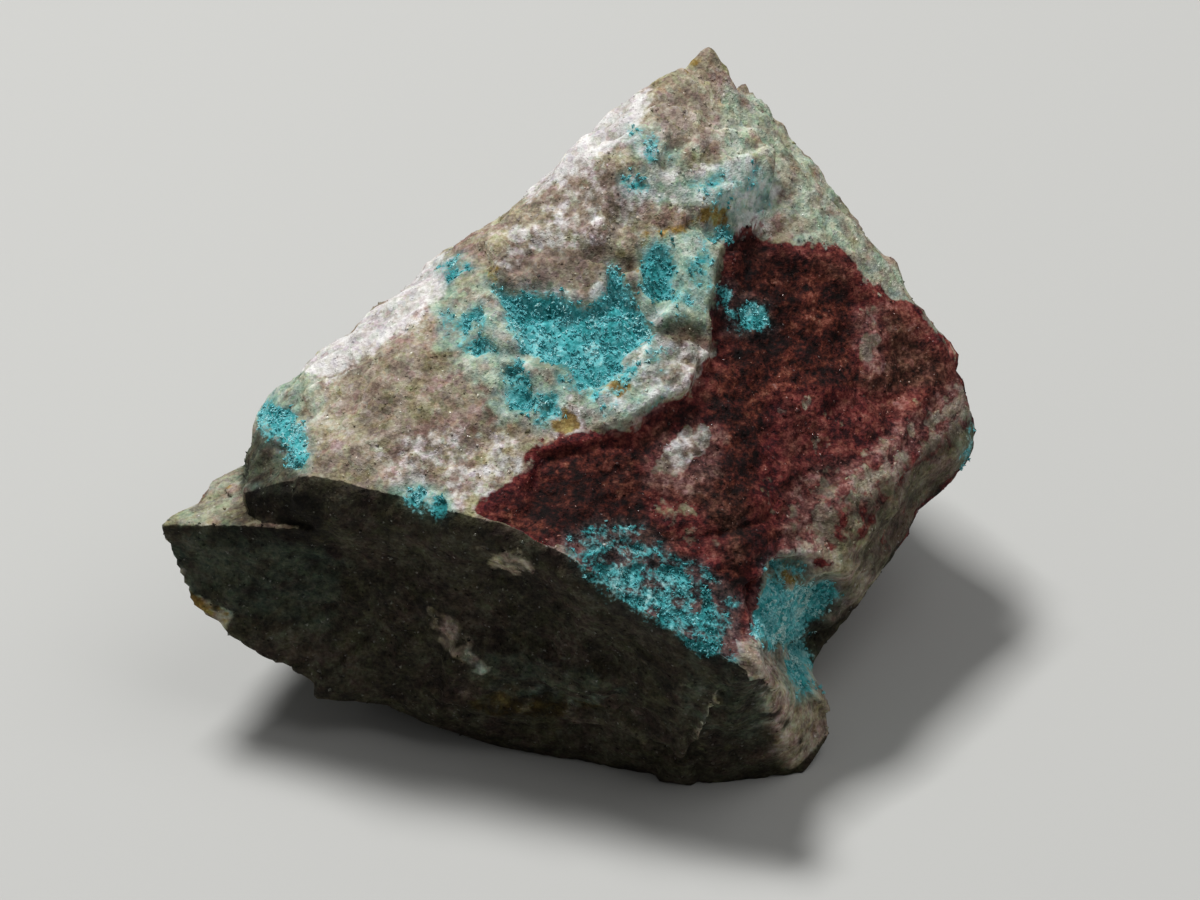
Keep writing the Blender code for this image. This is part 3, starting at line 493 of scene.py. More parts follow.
PALE_IN_RED = {
    "three-sided patch": (0.14, ((652, 470), (664, 446), (686, 430), (704, 424), (714, 436),
                                 (706, 452), (690, 462), (676, 476))),
    "streak": (0.0, ((864, 312), (874, 310), (878, 340), (874, 366), (866, 362))),
    "side border": (-0.06, ((785, 545), (796, 500), (825, 470), (870, 466), (895, 436), (930, 415),
                            (968, 372), (984, 400), (940, 446), (905, 468), (882, 496), (836, 498),
                            (818, 545))),
    "low bits": (-0.12, ((655, 498), (690, 508), (716, 545), (716, 562), (682, 534), (660, 514))),
    "side specks": (-0.20, ((780, 400), (940, 400), (960, 430), (880, 500), (820, 540), (760, 520))),
    "top border": (-0.05, ((700, 258), (716, 250), (724, 238), (722, 262), (712, 300), (702, 300))),
    "crest": (-0.05, ((736, 226), (766, 222), (776, 240), (744, 242))),
    "ridge": (0.0, ((552, 545), (566, 548), (600, 590), (660, 630), (652, 636), (590, 600))),
    "knob": (0.1, ((740, 640), (756, 634), (784, 648), (780, 672), (752, 676), (738, 660))),
}
OCHRE = {
    "main spot": (1.0, ((552, 420), (564, 410), (577, 415), (580, 427), (565, 434), (552, 430))),
    "second spot": (0.20, ((603, 379), (620, 375), (631, 386), (619, 399), (606, 392))),
    "crest spot a": (0.40, ((694, 216), (702, 208), (711, 209), (713, 220), (704, 226), (695, 224))),
    "crest spot b": (0.50, ((707, 207), (720, 203), (731, 212), (726, 225), (712, 225))),
    "hollow rim": (0.02, ((490, 268), (500, 268), (500, 284), (490, 284))),
    "apex": (0.05, ((684, 60), (696, 56), (700, 66), (688, 72))),
    "recess": (0.05, ((782, 570), (798, 566), (800, 580), (786, 584))),
    "rim line": (0.0, ((640, 232), (660, 232), (690, 220), (694, 226), (664, 240), (642, 244))),
    "rib": (-0.10, ((620, 270), (640, 266), (650, 285), (640, 296), (626, 286))),
    "ledge top": (-0.16, ((164, 524), (200, 484), (240, 466), (240, 500), (205, 528))),
    "front streak": (0.05, ((470, 702), (500, 692), (560, 697), (600, 706), (560, 714), (490, 715))),
    "left edge": (0.0, ((156, 540), (166, 552), (190, 596), (228, 612), (222, 622), (180, 604),
                        (156, 565))),
}
OCHRE_HIDDEN = ((0.2, 1.0, (-6.0, 12.5, 2.0)), (0.1, 1.2, (10.0, 14.5, -1.0)))
# White quartz, with painted highlights: the upper left edge, top edge and bench line are lit edges
# painted white, and the crest glint is a painted glint.
WHITE = {
    "upper left edge": (1.0, ((314, 382), (300, 366), (330, 325), (390, 280), (436, 244), (456, 276),
                              (426, 308), (392, 336), (352, 366))),
    "top edge": (1.0, ((524, 200), (515, 184), (560, 140), (600, 104), (642, 80), (647, 104),
                       (637, 130), (620, 148), (592, 164), (562, 180))),
    "edge spot": (0.25, ((506, 232), (524, 228), (530, 240), (514, 246))),
    "plate rim": (0.20, ((552, 290), (566, 298), (577, 302), (588, 298), (600, 286), (608, 273),
                         (612, 277), (605, 292), (592, 305), (576, 309), (563, 303), (551, 294))),
    "bench line": (-0.05, ((500, 262), (518, 244), (545, 238), (590, 241), (604, 232), (606, 238),
                           (590, 247), (545, 245), (522, 250), (506, 264))),
    "ochre halo": (0.30, ((554, 406), (570, 400), (582, 412), (580, 432), (560, 436), (552, 424))),
    "crest glint": (0.10, ((738, 226), (762, 224), (768, 240), (742, 240))),
    "wedge": (-0.05, ((600, 385), (630, 345), (656, 338), (716, 352), (690, 385), (640, 404),
                      (600, 412))),
    "wedge tip": (0.10, ((690, 352), (716, 352), (706, 366), (688, 362))),
    "lower pale": (-0.12, ((420, 430), (510, 440), (520, 480), (470, 510), (400, 490), (380, 450))),
    "patch in the red": (0.0, ((664, 452), (686, 430), (706, 424), (716, 438), (702, 460), (674, 466))),
    "crest film": (0.02, ((655, 170), (690, 175), (745, 160), (776, 182), (770, 214), (735, 226),
                           (700, 204), (660, 202), (640, 190))),
    "bumps": (-0.14, ((540, 196), (560, 182), (600, 170), (640, 172), (655, 190), (640, 215),
                      (600, 236), (560, 240), (530, 236), (545, 215))),
    "knob": (0.0, ((634, 138), (650, 140), (656, 156), (640, 158))),
    "step corner": (0.10, ((652, 314), (664, 312), (664, 322), (654, 322))),
}
WHITE_HIDDEN = ((0.0, 5.0, (-6.0, 8.0, 6.0)), (0.1, 4.0, (4.0, 17.0, 3.0)),
                (0.0, 3.0, (-12.0, 9.0, -3.0)))
AQUA = {                                      # pale green-white films of fine ajoite and clay
    "apex right": (0.2, ((728, 88), (742, 100), (752, 150), (740, 172), (726, 150), (722, 110))),
    "crest": (0.8, ((655, 170), (690, 175), (745, 160), (776, 182), (770, 214), (735, 226),
                    (700, 204), (660, 202), (640, 190))),
    "below apex": (-0.1, ((640, 140), (690, 150), (720, 165), (700, 180), (650, 180))),
    "hollow surround": (0.10, ((430, 300), (500, 280), (510, 330), (560, 370), (640, 380),
                               (660, 400), (560, 430), (500, 420), (440, 350))),
    "right hollow": (0.6, ((640, 238), (700, 226), (716, 250), (706, 330), (660, 330), (640, 300))),
    "left shoulder": (0.2, ((258, 404), (272, 382), (304, 366), (316, 380), (312, 410), (290, 408))),
    "ridge": (0.2, ((380, 490), (410, 484), (440, 488), (455, 512), (440, 520))),
    "ledge top": (-0.14, ((160, 524), (200, 482), (240, 464), (244, 490), (220, 520))),
    "rear": (0.0, ((742, 84), (770, 90), (850, 220), (950, 340), (900, 320), (800, 240))),
    "rear top": (-0.05, ((742, 70), (775, 90), (795, 150), (812, 190), (780, 190), (748, 140))),
    "left face": (0.10, ((240, 440), (262, 430), (290, 470), (285, 490), (240, 492))),
    "front left": (0.1, ((165, 545), (240, 525), (340, 560), (330, 625), (230, 615), (180, 590))),
    "front low": (0.0, ((470, 655), (560, 664), (620, 690), (600, 705), (500, 690))),
    "foot": (-0.1, ((690, 660), (770, 690), (760, 740), (690, 720))),
}
AQUA_HIDDEN = ((0.4, 6.0, (-9.0, 10.0, 0.0)), (0.1, 7.0, (10.0, 14.0, -3.0)),
               (0.2, 6.0, (-14.0, 4.0, -6.0)))
MAUVE = {                                     # dusty pink-grey quartzite
    "plate": (0.6, ((500, 252), (520, 244), (585, 246), (600, 262), (614, 266), (606, 288),
                    (588, 303), (566, 301), (552, 291), (502, 289))),
    "upper bumps": (0.3, ((540, 196), (560, 182), (600, 170), (640, 172), (655, 190), (640, 215),
                          (610, 222), (600, 236), (560, 240), (530, 236), (545, 215))),
    "left bump": (0.3, ((478, 306), (500, 300), (518, 330), (522, 352), (505, 358), (488, 345))),
    "apex streak": (0.5, ((690, 92), (704, 90), (712, 130), (726, 160), (714, 168), (698, 140))),
    "apex left": (0.3, ((650, 100), (672, 92), (690, 100), (690, 140), (660, 130))),
    "wedge right": (0.1, ((648, 372), (690, 360), (708, 360), (690, 385), (650, 394))),
    "pale face": (-0.05, ((300, 390), (380, 350), (440, 360), (480, 420), (470, 470), (400, 490),
                          (310, 465))),
    "in the red": (0.5, ((640, 480), (660, 440), (700, 418), (722, 430), (716, 480), (690, 492))),
    "side border": (0.2, ((780, 550), (790, 495), (820, 462), (866, 460), (890, 430), (930, 408),
                          (970, 366), (986, 400), (945, 452), (905, 478), (882, 506), (842, 506),
                          (826, 550))),
    "streak in the red": (0.5, ((858, 306), (882, 306), (884, 370), (860, 370))),
    "low border": (0.4, ((552, 540), (600, 575), (690, 640), (756, 636), (790, 650), (780, 678),
                         (740, 680), (640, 640), (556, 560))),
    "red border": (0.0, ((520, 440), (560, 432), (640, 410), (690, 380), (700, 366), (650, 400),
                         (600, 424), (540, 432))),
    "front": (0.0, ((430, 610), (448, 616), (470, 640), (482, 670), (462, 664), (440, 640))),
    "front low": (0.0, ((590, 712), (640, 712), (656, 732), (610, 738))),
}
MAUVE_HIDDEN = ((0.0, 9.0, (-6.0, 10.0, 0.0)), (0.1, 5.0, (4.0, 16.0, 0.0)),
                (0.1, 6.0, (8.0, 10.0, -12.0)), (0.0, 5.0, (-14.0, 2.0, -8.0)))
DIRT_AND_SHADE = {                                      # dark clay and manganese here and there, and painted shade in cracks, low places and shaded faces
    "ledge top": (-0.10, ((160, 524), (200, 482), (240, 464), (244, 490), (205, 528))),
    # Painted shade: the ledge root, left face, side, red top left, step, the two cracks and the recess
    # are darkened where shade falls.
    "ledge root": (1.0, ((206, 540), (214, 524), (240, 500), (246, 470), (320, 500), (330, 545))),
    "left face": (1.0, ((238, 444), (262, 430), (292, 466), (300, 478), (285, 492), (240, 492))),
    "side": (0.25, ((812, 530), (850, 500), (890, 490), (930, 450), (990, 400), (990, 470),
                    (905, 580), (850, 560))),
    "plate": (-0.10, ((503, 255), (585, 250), (612, 268), (588, 298), (552, 290), (504, 286))),
    "red top left": (0.8, ((716, 250), (745, 235), (790, 246), (800, 290), (780, 350), (730, 370),
                           (708, 340))),
    "red low left": (0.3, ((500, 500), (560, 480), (640, 450), (670, 480), (640, 530), (560, 530))),
    "red middle": (0.05, ((620, 520), (700, 420), (790, 400), (840, 480), (760, 560), (660, 560))),
    "step": (0.6, ((650, 322), (664, 318), (704, 318), (716, 350), (690, 346), (652, 338))),
    "hollow crack": (0.15, ((610, 272), (618, 272), (636, 298), (650, 326), (642, 332), (622, 302))),
    "bench crack": (0.2, ((583, 247), (602, 245), (622, 253), (641, 261), (634, 268), (602, 262),
                          (586, 257))),
    "rib": (0.0, ((616, 268), (640, 264), (654, 285), (655, 312), (645, 318), (630, 296))),
    "hollow foot": (0.0, ((540, 362), (556, 360), (570, 372), (552, 374))),
    "recess": (0.1, ((766, 566), (802, 562), (810, 582), (768, 592))),
    "recess right": (-0.25, ((806, 570), (850, 560), (850, 600), (820, 640), (800, 620))),
}
BRICK = {                                     # where the red is a lighter orange brown
    "right": (0.8, ((868, 296), (905, 302), (938, 332), (955, 342), (975, 392), (930, 430),
                    (890, 440), (862, 420), (858, 360))),
    "low right": (0.3, ((790, 400), (860, 400), (900, 450), (850, 490), (810, 520), (770, 500))),
    "low middle": (0.1, ((660, 480), (700, 470), (740, 500), (740, 560), (690, 550), (655, 520))),
    "rib": (0.0, ((700, 360), (720, 372), (690, 420), (640, 440), (690, 396))),
    "top rim": (0.3, ((736, 226), (770, 222), (790, 244), (850, 250), (880, 286), (860, 290),
                      (800, 256), (740, 250))),
}
# Painted shade: the front face, turned away from the light behind, is darkened as if in shade.
FRONT_FACE = {
    "front": (3.0, ((140, 528), (182, 520), (222, 512), (240, 470), (262, 448), (300, 470), (340, 468),
                    (405, 492), (470, 503), (553, 520), (600, 570), (640, 595), (710, 630),
                    (745, 650), (800, 692), (840, 720), (840, 800), (600, 820), (140, 740))),
}
SHADED = {                                    # painted shade: as dark as the front, though it faces elsewhere
    "left face": (0.02, ((238, 444), (262, 430), (290, 464), (296, 480), (285, 492), (240, 492))),
}
# Pale spots where the front's painted shade gives way.
PALE_IN_FRONT = {
    "low band": (0.12, ((455, 692), (520, 685), (600, 698), (690, 688), (725, 698), (700, 735),
                        (640, 748), (560, 728), (475, 720))),
    "foot": (0.16, ((700, 700), (740, 682), (800, 700), (828, 735), (805, 778), (740, 772),
                    (700, 748))),
    "ridge bits": (0.10, ((430, 610), (448, 616), (470, 640), (482, 670), (462, 664), (440, 640))),
    "under the ridge": (0.05, ((480, 545), (530, 552), (530, 572), (490, 568))),
    "left edge": (0.15, ((156, 540), (168, 552), (192, 592), (232, 612), (222, 626), (176, 604),
                         (154, 565))),
}
FRONT_FACING = (0.52, 0.76)                   # a face this square to the front is the front face
UNDER_FACING = (0.05, -0.45)                  # painted shade: faces turned down are darker: from and to
RED_OFF_FRONT = 3.0                           # mm taken off the red's amount on the front face
FRONT_SPAN, UNDER_SPAN = 2.4, 1.6             # mm that those two turns come to, end to end
PALE_IN_RED_STEEP, PALE_IN_FRONT_STEEP = 1.6, 1.5    # how sharply the pale spots cut in
PALE_IN_FRONT_FROM = 0.1                      # mm: the front shade's amount where a pale spot begins
MINERAL_NOISE = ((0.34, 0.9), (0.22, 0.38))   # edges wander: (how far, over what length)
# How strongly each mineral's edge wanders, and which part of the noise it takes.
WANDERS = {
    "ajoite": (1.0, 200), "red": (1.0, 300), "pale in red": (0.8, 320), "ochre": (0.5, 340),
    "white": (1.0, 360), "aqua": (1.2, 380), "dirt": (1.0, 400), "mauve": (1.0, 420),
    "front": (0.5, 440), "brick": (1.2, 460), "pale in front": (1.2, 480),
}
SWAY, SWAY_LENGTH = 2.2, 3.2                  # hidden patches are swayed so far, over this length


def pixels_of(points):
    """Where points in level axes fall in the photograph: seen from VIEW_DISTANCE away."""
    seen = as_seen(points)
    shrink = VIEW_DISTANCE / (VIEW_DISTANCE - seen[:, 2]) / MM_PER_PIXEL
    return MIDDLE_PIXEL[0] + seen[:, 0] * shrink, MIDDLE_PIXEL[1] - seen[:, 1] * shrink


def amount_of(points, facing, outlines, hidden=()):
    """How far inside a mineral's patches each point is, in mm, below zero outside: the seen
    patches count on faces turned to the viewer, and the hidden balls on the rest."""
    column, row = pixels_of(points)
    front = smooth_rise(*SEEN_FACING, facing @ TO_VIEWER)
    seen = np.full(len(points), FURTHEST_OUT)
    for most, outline in outlines.values():
        inside = depth_inside(column, row, outline) * MM_PER_PIXEL
        seen = np.maximum(seen, np.minimum(inside, most))
    behind = np.full(len(points), FURTHEST_OUT)
    swayed = points + SWAY * pull_at(points, SWAY_LENGTH, 1) if hidden else points
    for most, radius, centre in hidden:
        inside = radius - np.linalg.norm(swayed - centre, axis=1)
        behind = np.maximum(behind, np.minimum(inside, most))
    return seen * front + behind * (1 - front)


def mineral_noise(points, square, label):
    """How far a mineral's edge is moved, in mm: two fields of swells added, from the mineral's
    own part of them, and less where the skin's cells are drawn out."""
    strength, part = WANDERS[label]
    return strength * (square * layered(WANDER, points, MINERAL_NOISE, part))


def mineral_at(points, facing, square, label, outlines, hidden=()):
    """A mineral's amount at each point, in mm: its patches, with wandering edges."""
    return amount_of(points, facing, outlines, hidden) + mineral_noise(points, square, label)


def minerals_at(points, facing, square):
    """Every mineral's amount at each point, by name, as the material reads them. The red stops
    short of the front face and of its pale spots. The front's painted shade takes in the shaded
    faces and those turned down, less its own pale spots."""
    at = points, facing, square
    found = {
        "ajoite": mineral_at(*at, "ajoite", AJOITE, AJOITE_HIDDEN),
        "ochre": mineral_at(*at, "ochre", OCHRE, OCHRE_HIDDEN),
        "white": mineral_at(*at, "white", WHITE, WHITE_HIDDEN),
        "aqua": mineral_at(*at, "aqua", AQUA, AQUA_HIDDEN),
        "mauve": mineral_at(*at, "mauve", MAUVE, MAUVE_HIDDEN),
        "dirt": mineral_at(*at, "dirt", DIRT_AND_SHADE),
        "brick": mineral_at(*at, "brick", BRICK),
    }
    to_front = smooth_rise(*FRONT_FACING, -facing[:, 1])
    red = mineral_at(*at, "red", RED, RED_HIDDEN) - RED_OFF_FRONT * to_front
    pale = mineral_at(*at, "pale in red", PALE_IN_RED)
    found["red"] = np.minimum(red, -PALE_IN_RED_STEEP * pale)
    front = np.minimum(amount_of(points, facing, FRONT_FACE), FRONT_SPAN * (to_front - 0.5))
    pale = mineral_at(*at, "pale in front", PALE_IN_FRONT)
    front = np.minimum(front, PALE_IN_FRONT_FROM - PALE_IN_FRONT_STEEP * pale)
    under = UNDER_SPAN * (smooth_rise(*UNDER_FACING, facing[:, 2]) - 0.5)
    front = np.maximum.reduce([front, under, amount_of(points, facing, SHADED)])
    found["front"] = front + mineral_noise(points, square, "front")
    return found


# The stone's skin: the whole broken surface, one closed sheet over the solid, fine enough
# to show chips half a millimetre across. Ajoite takes the place of its topmost part.
GRID_CELLS = 128                              # cells along each side of the wrapped grid
DIGITS_ALIKE = 6                              # ways alike to this many digits are one
SPREAD_TURNS = (60, 30, 12, 5)                # rounds of evening out, coarse grid to fine
SPREAD_STEP = 0.7                             # how far a way moves in each round
EDGE_TURNS = 2                                # rounds of moving ways onto edges
SINK_COMES = (-0.05, 0.2)                     # amounts of ajoite where its bed starts and is full
GROUND_ROUNDS = 8                             # rounds of smoothing that give the ground level


def wrapped_grid(cells):
    """A grid on the six sides of a cube blown up to a ball: ways, four-sided cells, and the
    number of each way on each side (sides share the ones along their edges)."""
    line = np.tan(np.linspace(-1, 1, cells + 1) * np.pi / 4)
    s, t = np.meshgrid(line, line, indexing="ij")
    one = np.ones_like(s)
    sides = ((one, s, t), (-one, t, s), (t, one, s), (s, -one, t), (s, t, one), (t, s, -one))
    cube = np.stack([np.stack(side, -1) for side in sides]).reshape(-1, 3)
    _, first, number = np.unique(np.round(cube, DIGITS_ALIKE), axis=0, return_index=True,
                                 return_inverse=True)
    number = number.reshape(6, cells + 1, cells + 1)
    ways = cube[first] / np.linalg.norm(cube[first], axis=1, keepdims=True)
    cells_of = np.stack([number[:, :-1, :-1], number[:, 1:, :-1],
                         number[:, 1:, 1:], number[:, :-1, 1:]], -1).reshape(-1, 4)
    return ways, cells_of, number


def square_to(points, cells_of):
    """A direction square to each cell, twice its size long: its diagonals' cross product."""
    corner = points[cells_of]
    return np.cross(corner[:, 2] - corner[:, 0], corner[:, 3] - corner[:, 1])


def gathered(values, cells_of, count):
    """For each of count points, the sum of the values of the cells it is a corner of."""
    total = np.zeros((count, values.shape[1]))
    for k in range(4):
        for axis in range(values.shape[1]):
            total[:, axis] += np.bincount(cells_of[:, k], values[:, axis], count)
    return total


def spread_evenly():
    """Evens the grid out over the stone, so that its cells come out alike in size: each way
    moves to the middle of the cells round it, weighed by size, first on a coarse grid."""
    ways = number = None
    for turn, rounds in enumerate(SPREAD_TURNS):
        cells = GRID_CELLS >> (len(SPREAD_TURNS) - 1 - turn)
        coarse, coarse_number = ways, number
        ways, cells_of, number = wrapped_grid(cells)
        if coarse is not None:
            fine = np.zeros((6, cells + 1, cells + 1, 3))
            fine[:, ::2, ::2] = coarse[coarse_number]
            fine[:, 1::2, ::2] = (fine[:, 2::2, ::2] + fine[:, :-2:2, ::2]) / 2
            fine[:, :, 1::2] = (fine[:, :, 2::2] + fine[:, :, :-2:2]) / 2
            ways = np.zeros((number.max() + 1, 3))
            ways[number.ravel()] = fine.reshape(-1, 3)
            ways /= np.linalg.norm(ways, axis=1, keepdims=True)
        for _ in range(rounds):
            points = ways * reach(ways)[0][:, None]
            size = np.linalg.norm(square_to(points, cells_of), axis=1, keepdims=True)
            pulled = gathered(size * points[cells_of].mean(1), cells_of, len(ways))
            pulled /= np.linalg.norm(pulled, axis=1, keepdims=True)
            ways = ways + SPREAD_STEP * (pulled - ways)
            ways /= np.linalg.norm(ways, axis=1, keepdims=True)
    return ways, cells_of


def grid_edges(cells_of):
    """The pairs of ways joined by a side of a cell, each pair once."""
    pairs = np.concatenate([cells_of[:, (k, (k + 1) % 4)] for k in range(4)])
    return np.unique(np.sort(pairs, axis=1), axis=0)


def nearest_two(ways):
    """For each way, the two nearest faces of the lump that reaches furthest: numbers, how
    much further the second is, and how that changes across the way."""
    best = np.full(len(ways), -1.0)
    number = np.zeros((len(ways), 2), int)
    gap, change = np.zeros(len(ways)), np.zeros((len(ways), 3))
    first_number = 0
    for normals, distances in LUMPS:
        lean, far = meet(ways, normals, distances)
        lean = np.maximum(lean, LEAST_LEAN)
        two = np.argsort(far, axis=1)[:, :2]
        a, b = np.take_along_axis(far, two, 1).T
        lean_a, lean_b = np.take_along_axis(lean, two, 1).T
        slope = normals[two[:, 0]] * (a / lean_a)[:, None] - normals[two[:, 1]] * (b / lean_b)[:, None]
        slope -= (slope * ways).sum(1)[:, None] * ways
        outer = a > best
        best = np.where(outer, a, best)
        number[outer] = two[outer] + first_number
        gap[outer], change[outer] = (b - a)[outer], slope[outer]
        first_number += len(normals)
    return number, gap, change


def onto_edges(ways, cells_of):
    """Where a cell's side crosses an edge of the stone, its end nearer to the edge moves onto
    it: back by the gap between the two faces over how quickly that gap changes."""
    for _ in range(EDGE_TURNS):
        number, gap, change = nearest_two(ways)
        first, second = grid_edges(cells_of).T
        crosses = ((number[first, 0] == number[second, 1]) & (number[first, 1] == number[second, 0]))
        nearer = np.where(gap[first] < gap[second], first, second)[crosses]
        moved = np.zeros(len(ways), bool)
        moved[nearer] = True
        step = change * (gap / np.maximum((change ** 2).sum(1), LEAST_LEAN))[:, None]
        ways = ways - np.where(moved[:, None], step, 0.0)
        ways /= np.linalg.norm(ways, axis=1, keepdims=True)
    return ways


def around(values, cells_of):
    """The mean of each point's cells: from points, the middle of what surrounds each one."""
    total = gathered(values[cells_of].mean(1), cells_of, len(values))
    return total / gathered(np.ones((len(cells_of), 1)), cells_of, len(values))


def split_cells(points, cells_of):
    """Each cell as two triangles: split along its outer diagonal where the stone bulges, so
    that ridges stay whole, and along its inner one in hollows."""
    bulge = ((points - around(points, cells_of)) * (points - MIDDLE)).sum(1)
    a, b, c, d = (points[cells_of[:, k]] - MIDDLE for k in range(4))
    outer = np.linalg.norm(a + c, axis=1) > np.linalg.norm(b + d, axis=1)
    along_first = (outer == (bulge[cells_of].sum(1) > 0))[:, None]
    one = np.where(along_first, cells_of[:, (0, 1, 2)], cells_of[:, (0, 1, 3)])
    other = np.where(along_first, cells_of[:, (0, 2, 3)], cells_of[:, (1, 2, 3)])
    return np.concatenate([one, other])


def skin_points(ways):
    """The broken surface with its finest chips, let down under the ajoite and flat at the base.
    The relief is less on ridges, and where a face runs nearly along its own way."""
    plain, facing = reach(ways)
    at = ways * plain[:, None] + MIDDLE
    relief = relief_at(at, facing)
    for (high, length), field in zip(GRAIN_CHIPS, FINE_CHIPS):
        relief += calm_at(at) * high * (0.5 - field(at / length))
    front = smooth_rise(FRONT_FROM, FRONT_FULL, facing @ TO_VIEWER)
    relief *= openness(ways) ** (CALM_BEHIND + (RIDGE_CALM - CALM_BEHIND) * front)
    square = smooth_rise(GRAZE_FROM, GRAZE_FULL, (ways * facing).sum(1))
    relief *= square
    relief += rolls_at(at)
    bare = ways * reach(ways, relief)[0][:, None] + MIDDLE
    ajoite = mineral_at(bare, facing, square, "ajoite", AJOITE, AJOITE_HIDDEN)
    relief -= CRUST_DEPTH * smooth_rise(*SINK_COMES, ajoite)
    far = reach(ways, relief)[0]
    to_base = (BASE_LEVEL - MIDDLE[2]) / np.minimum(ways[:, 2], -LEAST_LEAN)
    far = np.where(ways[:, 2] < -LEAST_LEAN, np.minimum(far, to_base), far)
    return ways * far[:, None] + MIDDLE, bare, facing, square, relief


def turned_out(points, cells_of):
    """The cells, each ordered so that it faces away from the middle."""
    outward = (square_to(points, cells_of) * (points[cells_of].mean(1) - MIDDLE)).sum() > 0
    return cells_of if outward else cells_of[:, ::-1]


ways, cells_of = spread_evenly()
ways = onto_edges(ways, cells_of)
points, bare_points, facing, square, relief = skin_points(ways)
cells_of = turned_out(points, cells_of)
cell_out = square_to(points, cells_of)
cell_size = np.linalg.norm(cell_out, axis=1) / 2
low_corner, high_corner = points.min(0), points.max(0)
cad_low, cad_high = np.array(cad_box[0]), np.array(cad_box[1])


def in_place(level_points):
    """Level millimetres to metres about the part's origin: the skin's box is laid on the
    solid's box."""
    share = (level_points - low_corner) / (high_corner - low_corner)
    return cad_low + share * (cad_high - cad_low)


def mesh_piece(name, points, faces, material, numbers):
    """A piece made of an array of points and one of equal faces, with a number at each point
    for every name in numbers, standing at the origin and riding on the one body."""
    mesh = bpy.data.meshes.new(name)
    mesh.vertices.add(len(points))
    mesh.vertices.foreach_set("co", in_place(points).ravel())
    sides = faces.shape[1]
    mesh.loops.add(faces.size)
    mesh.loops.foreach_set("vertex_index", faces.ravel().astype(np.int32))
    mesh.polygons.add(len(faces))
    mesh.polygons.foreach_set("loop_start", np.arange(0, faces.size, sides, dtype=np.int32))
    mesh.update(calc_edges=True)
    mesh.validate()
    for label, values in numbers.items():
        layer = mesh.attributes.new(label, "FLOAT", "POINT")
        layer.data.foreach_set("value", np.asarray(values, np.float32))
    mesh.materials.append(material)
    piece = bpy.data.objects.new(name, mesh)
    bpy.context.scene.collection.objects.link(piece)
    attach(piece, "root")
    return piece


# Broken quartz-rich rock: sugary grains a fifth of a millimetre across, matt where weathered
# and glinting where one broke clean. To the eye it is cream and dusty pink, mottled finely.
def hex_colour(code):
    """An sRGB hex value as a linear colour: each part over 255, then the sRGB curve, which is
    a power of 2.4 but for a straight piece near black."""
    parts = np.array([int(code[k:k + 2], 16) for k in (0, 2, 4)]) / 255.0
    linear = np.where(parts <= 0.04045, parts / 12.92, ((parts + 0.055) / 1.055) ** 2.4)
    return (*linear.tolist(), 1.0)


def add(tree, kind, links=None, stops=None, **settings):
    """Adds a node with its settings. links gives an input a value, a hex colour or another
    node's output; stops gives a colour ramp its (place, hex colour) pairs."""
    node = tree.nodes.new(kind)
    for name, value in settings.items():
        setattr(node, name, value)
    for socket, value in (links or {}).items():
        if isinstance(value, bpy.types.NodeSocket):
            tree.links.new(value, node.inputs[socket])
        else:
            value = hex_colour(value) if isinstance(value, str) else value
            node.inputs[socket].default_value = value
    if stops:
        ramp = node.color_ramp
        while len(ramp.elements) < len(stops):
            ramp.elements.new(1.0)
        for element, (place, code) in zip(ramp.elements, stops):
            element.position, element.color = place, hex_colour(code)
    return node


# Fields of fine variation: (size in mm, detail, roughness). The finest is the grains' size.
ROCK_FIELDS = {
    "broad": (4.0, 3.0, 0.55), "blotch": (1.5, 4.0, 0.60), "hue": (1.3, 3.0, 0.60),
    "rose": (1.9, 3.5, 0.62), "spot": (0.75, 3.0, 0.60), "speck": (0.45, 3.0, 0.60),
    "fleck": (0.30, 2.0, 0.60), "grit": (0.18, 2.0, 0.60),
}
BEDS_TURN, BEDS_STRETCH = (0.0, -0.75, 0.35), (0.45, 1.0, 1.9)    # streaks along the bedding
BEDS_FIELD = (1.5, 5.0, 0.65)
GRAIN_CELL, GRAIN_HUE = 0.28, 0.07            # mm: each quartz grain has its own slight hue
# How strongly each field lightens or darkens the rock, about a middle of 0.5.
PALE_MIX = {"broad": 0.20, "blotch": 0.34, "spot": 0.24, "speck": 0.28, "grit": 0.30}
RED_MIX = {"beds": 0.60, "blotch": 0.30, "speck": 0.60, "fleck": 0.40, "grit": 0.40}
# Each mineral's patches: (soft edge in mm, how far the edge wanders in mm, field it follows).
PATCHES = {
    "aqua": (0.45, 1.4, "spot"), "mauve": (0.40, 1.2, "spot"), "white": (0.30, 1.2, "speck"),
    "ochre": (0.12, 0.6, "speck"), "dirt": (0.45, 1.2, "blotch"), "front": (0.30, 0.4, "speck"),
    "brick": (0.50, 1.2, "spot"), "red": (0.12, 0.7, "speck"), "ajoite": (0.20, 0.8, "grit"),
}
# Hues the rock takes here and there: (what drives it, from, to), a field or an amount in mm.
HUES = {
    "yellow": ("hue", 0.50, 0.62), "rose": ("rose", 0.50, 0.60), "olive": ("fleck", 0.60, 0.70),
    "rust": ("speck", 0.62, 0.72), "film": ("ajoite", -0.7, 0.15), "border": ("red", 1.3, 0.1),
}
PALE = ((0.34, "625a4e"), (0.41, "7c7062"), (0.47, "948875"), (0.53, "a9a08a"), (0.60, "bfb9a3"),
        (0.70, "dcd9cb"))
RED_ROCK = ((0.31, "120a09"), (0.41, "241110"), (0.51, "421d18"), (0.61, "633025"), (0.71, "855040"),
            (0.83, "b08578"))
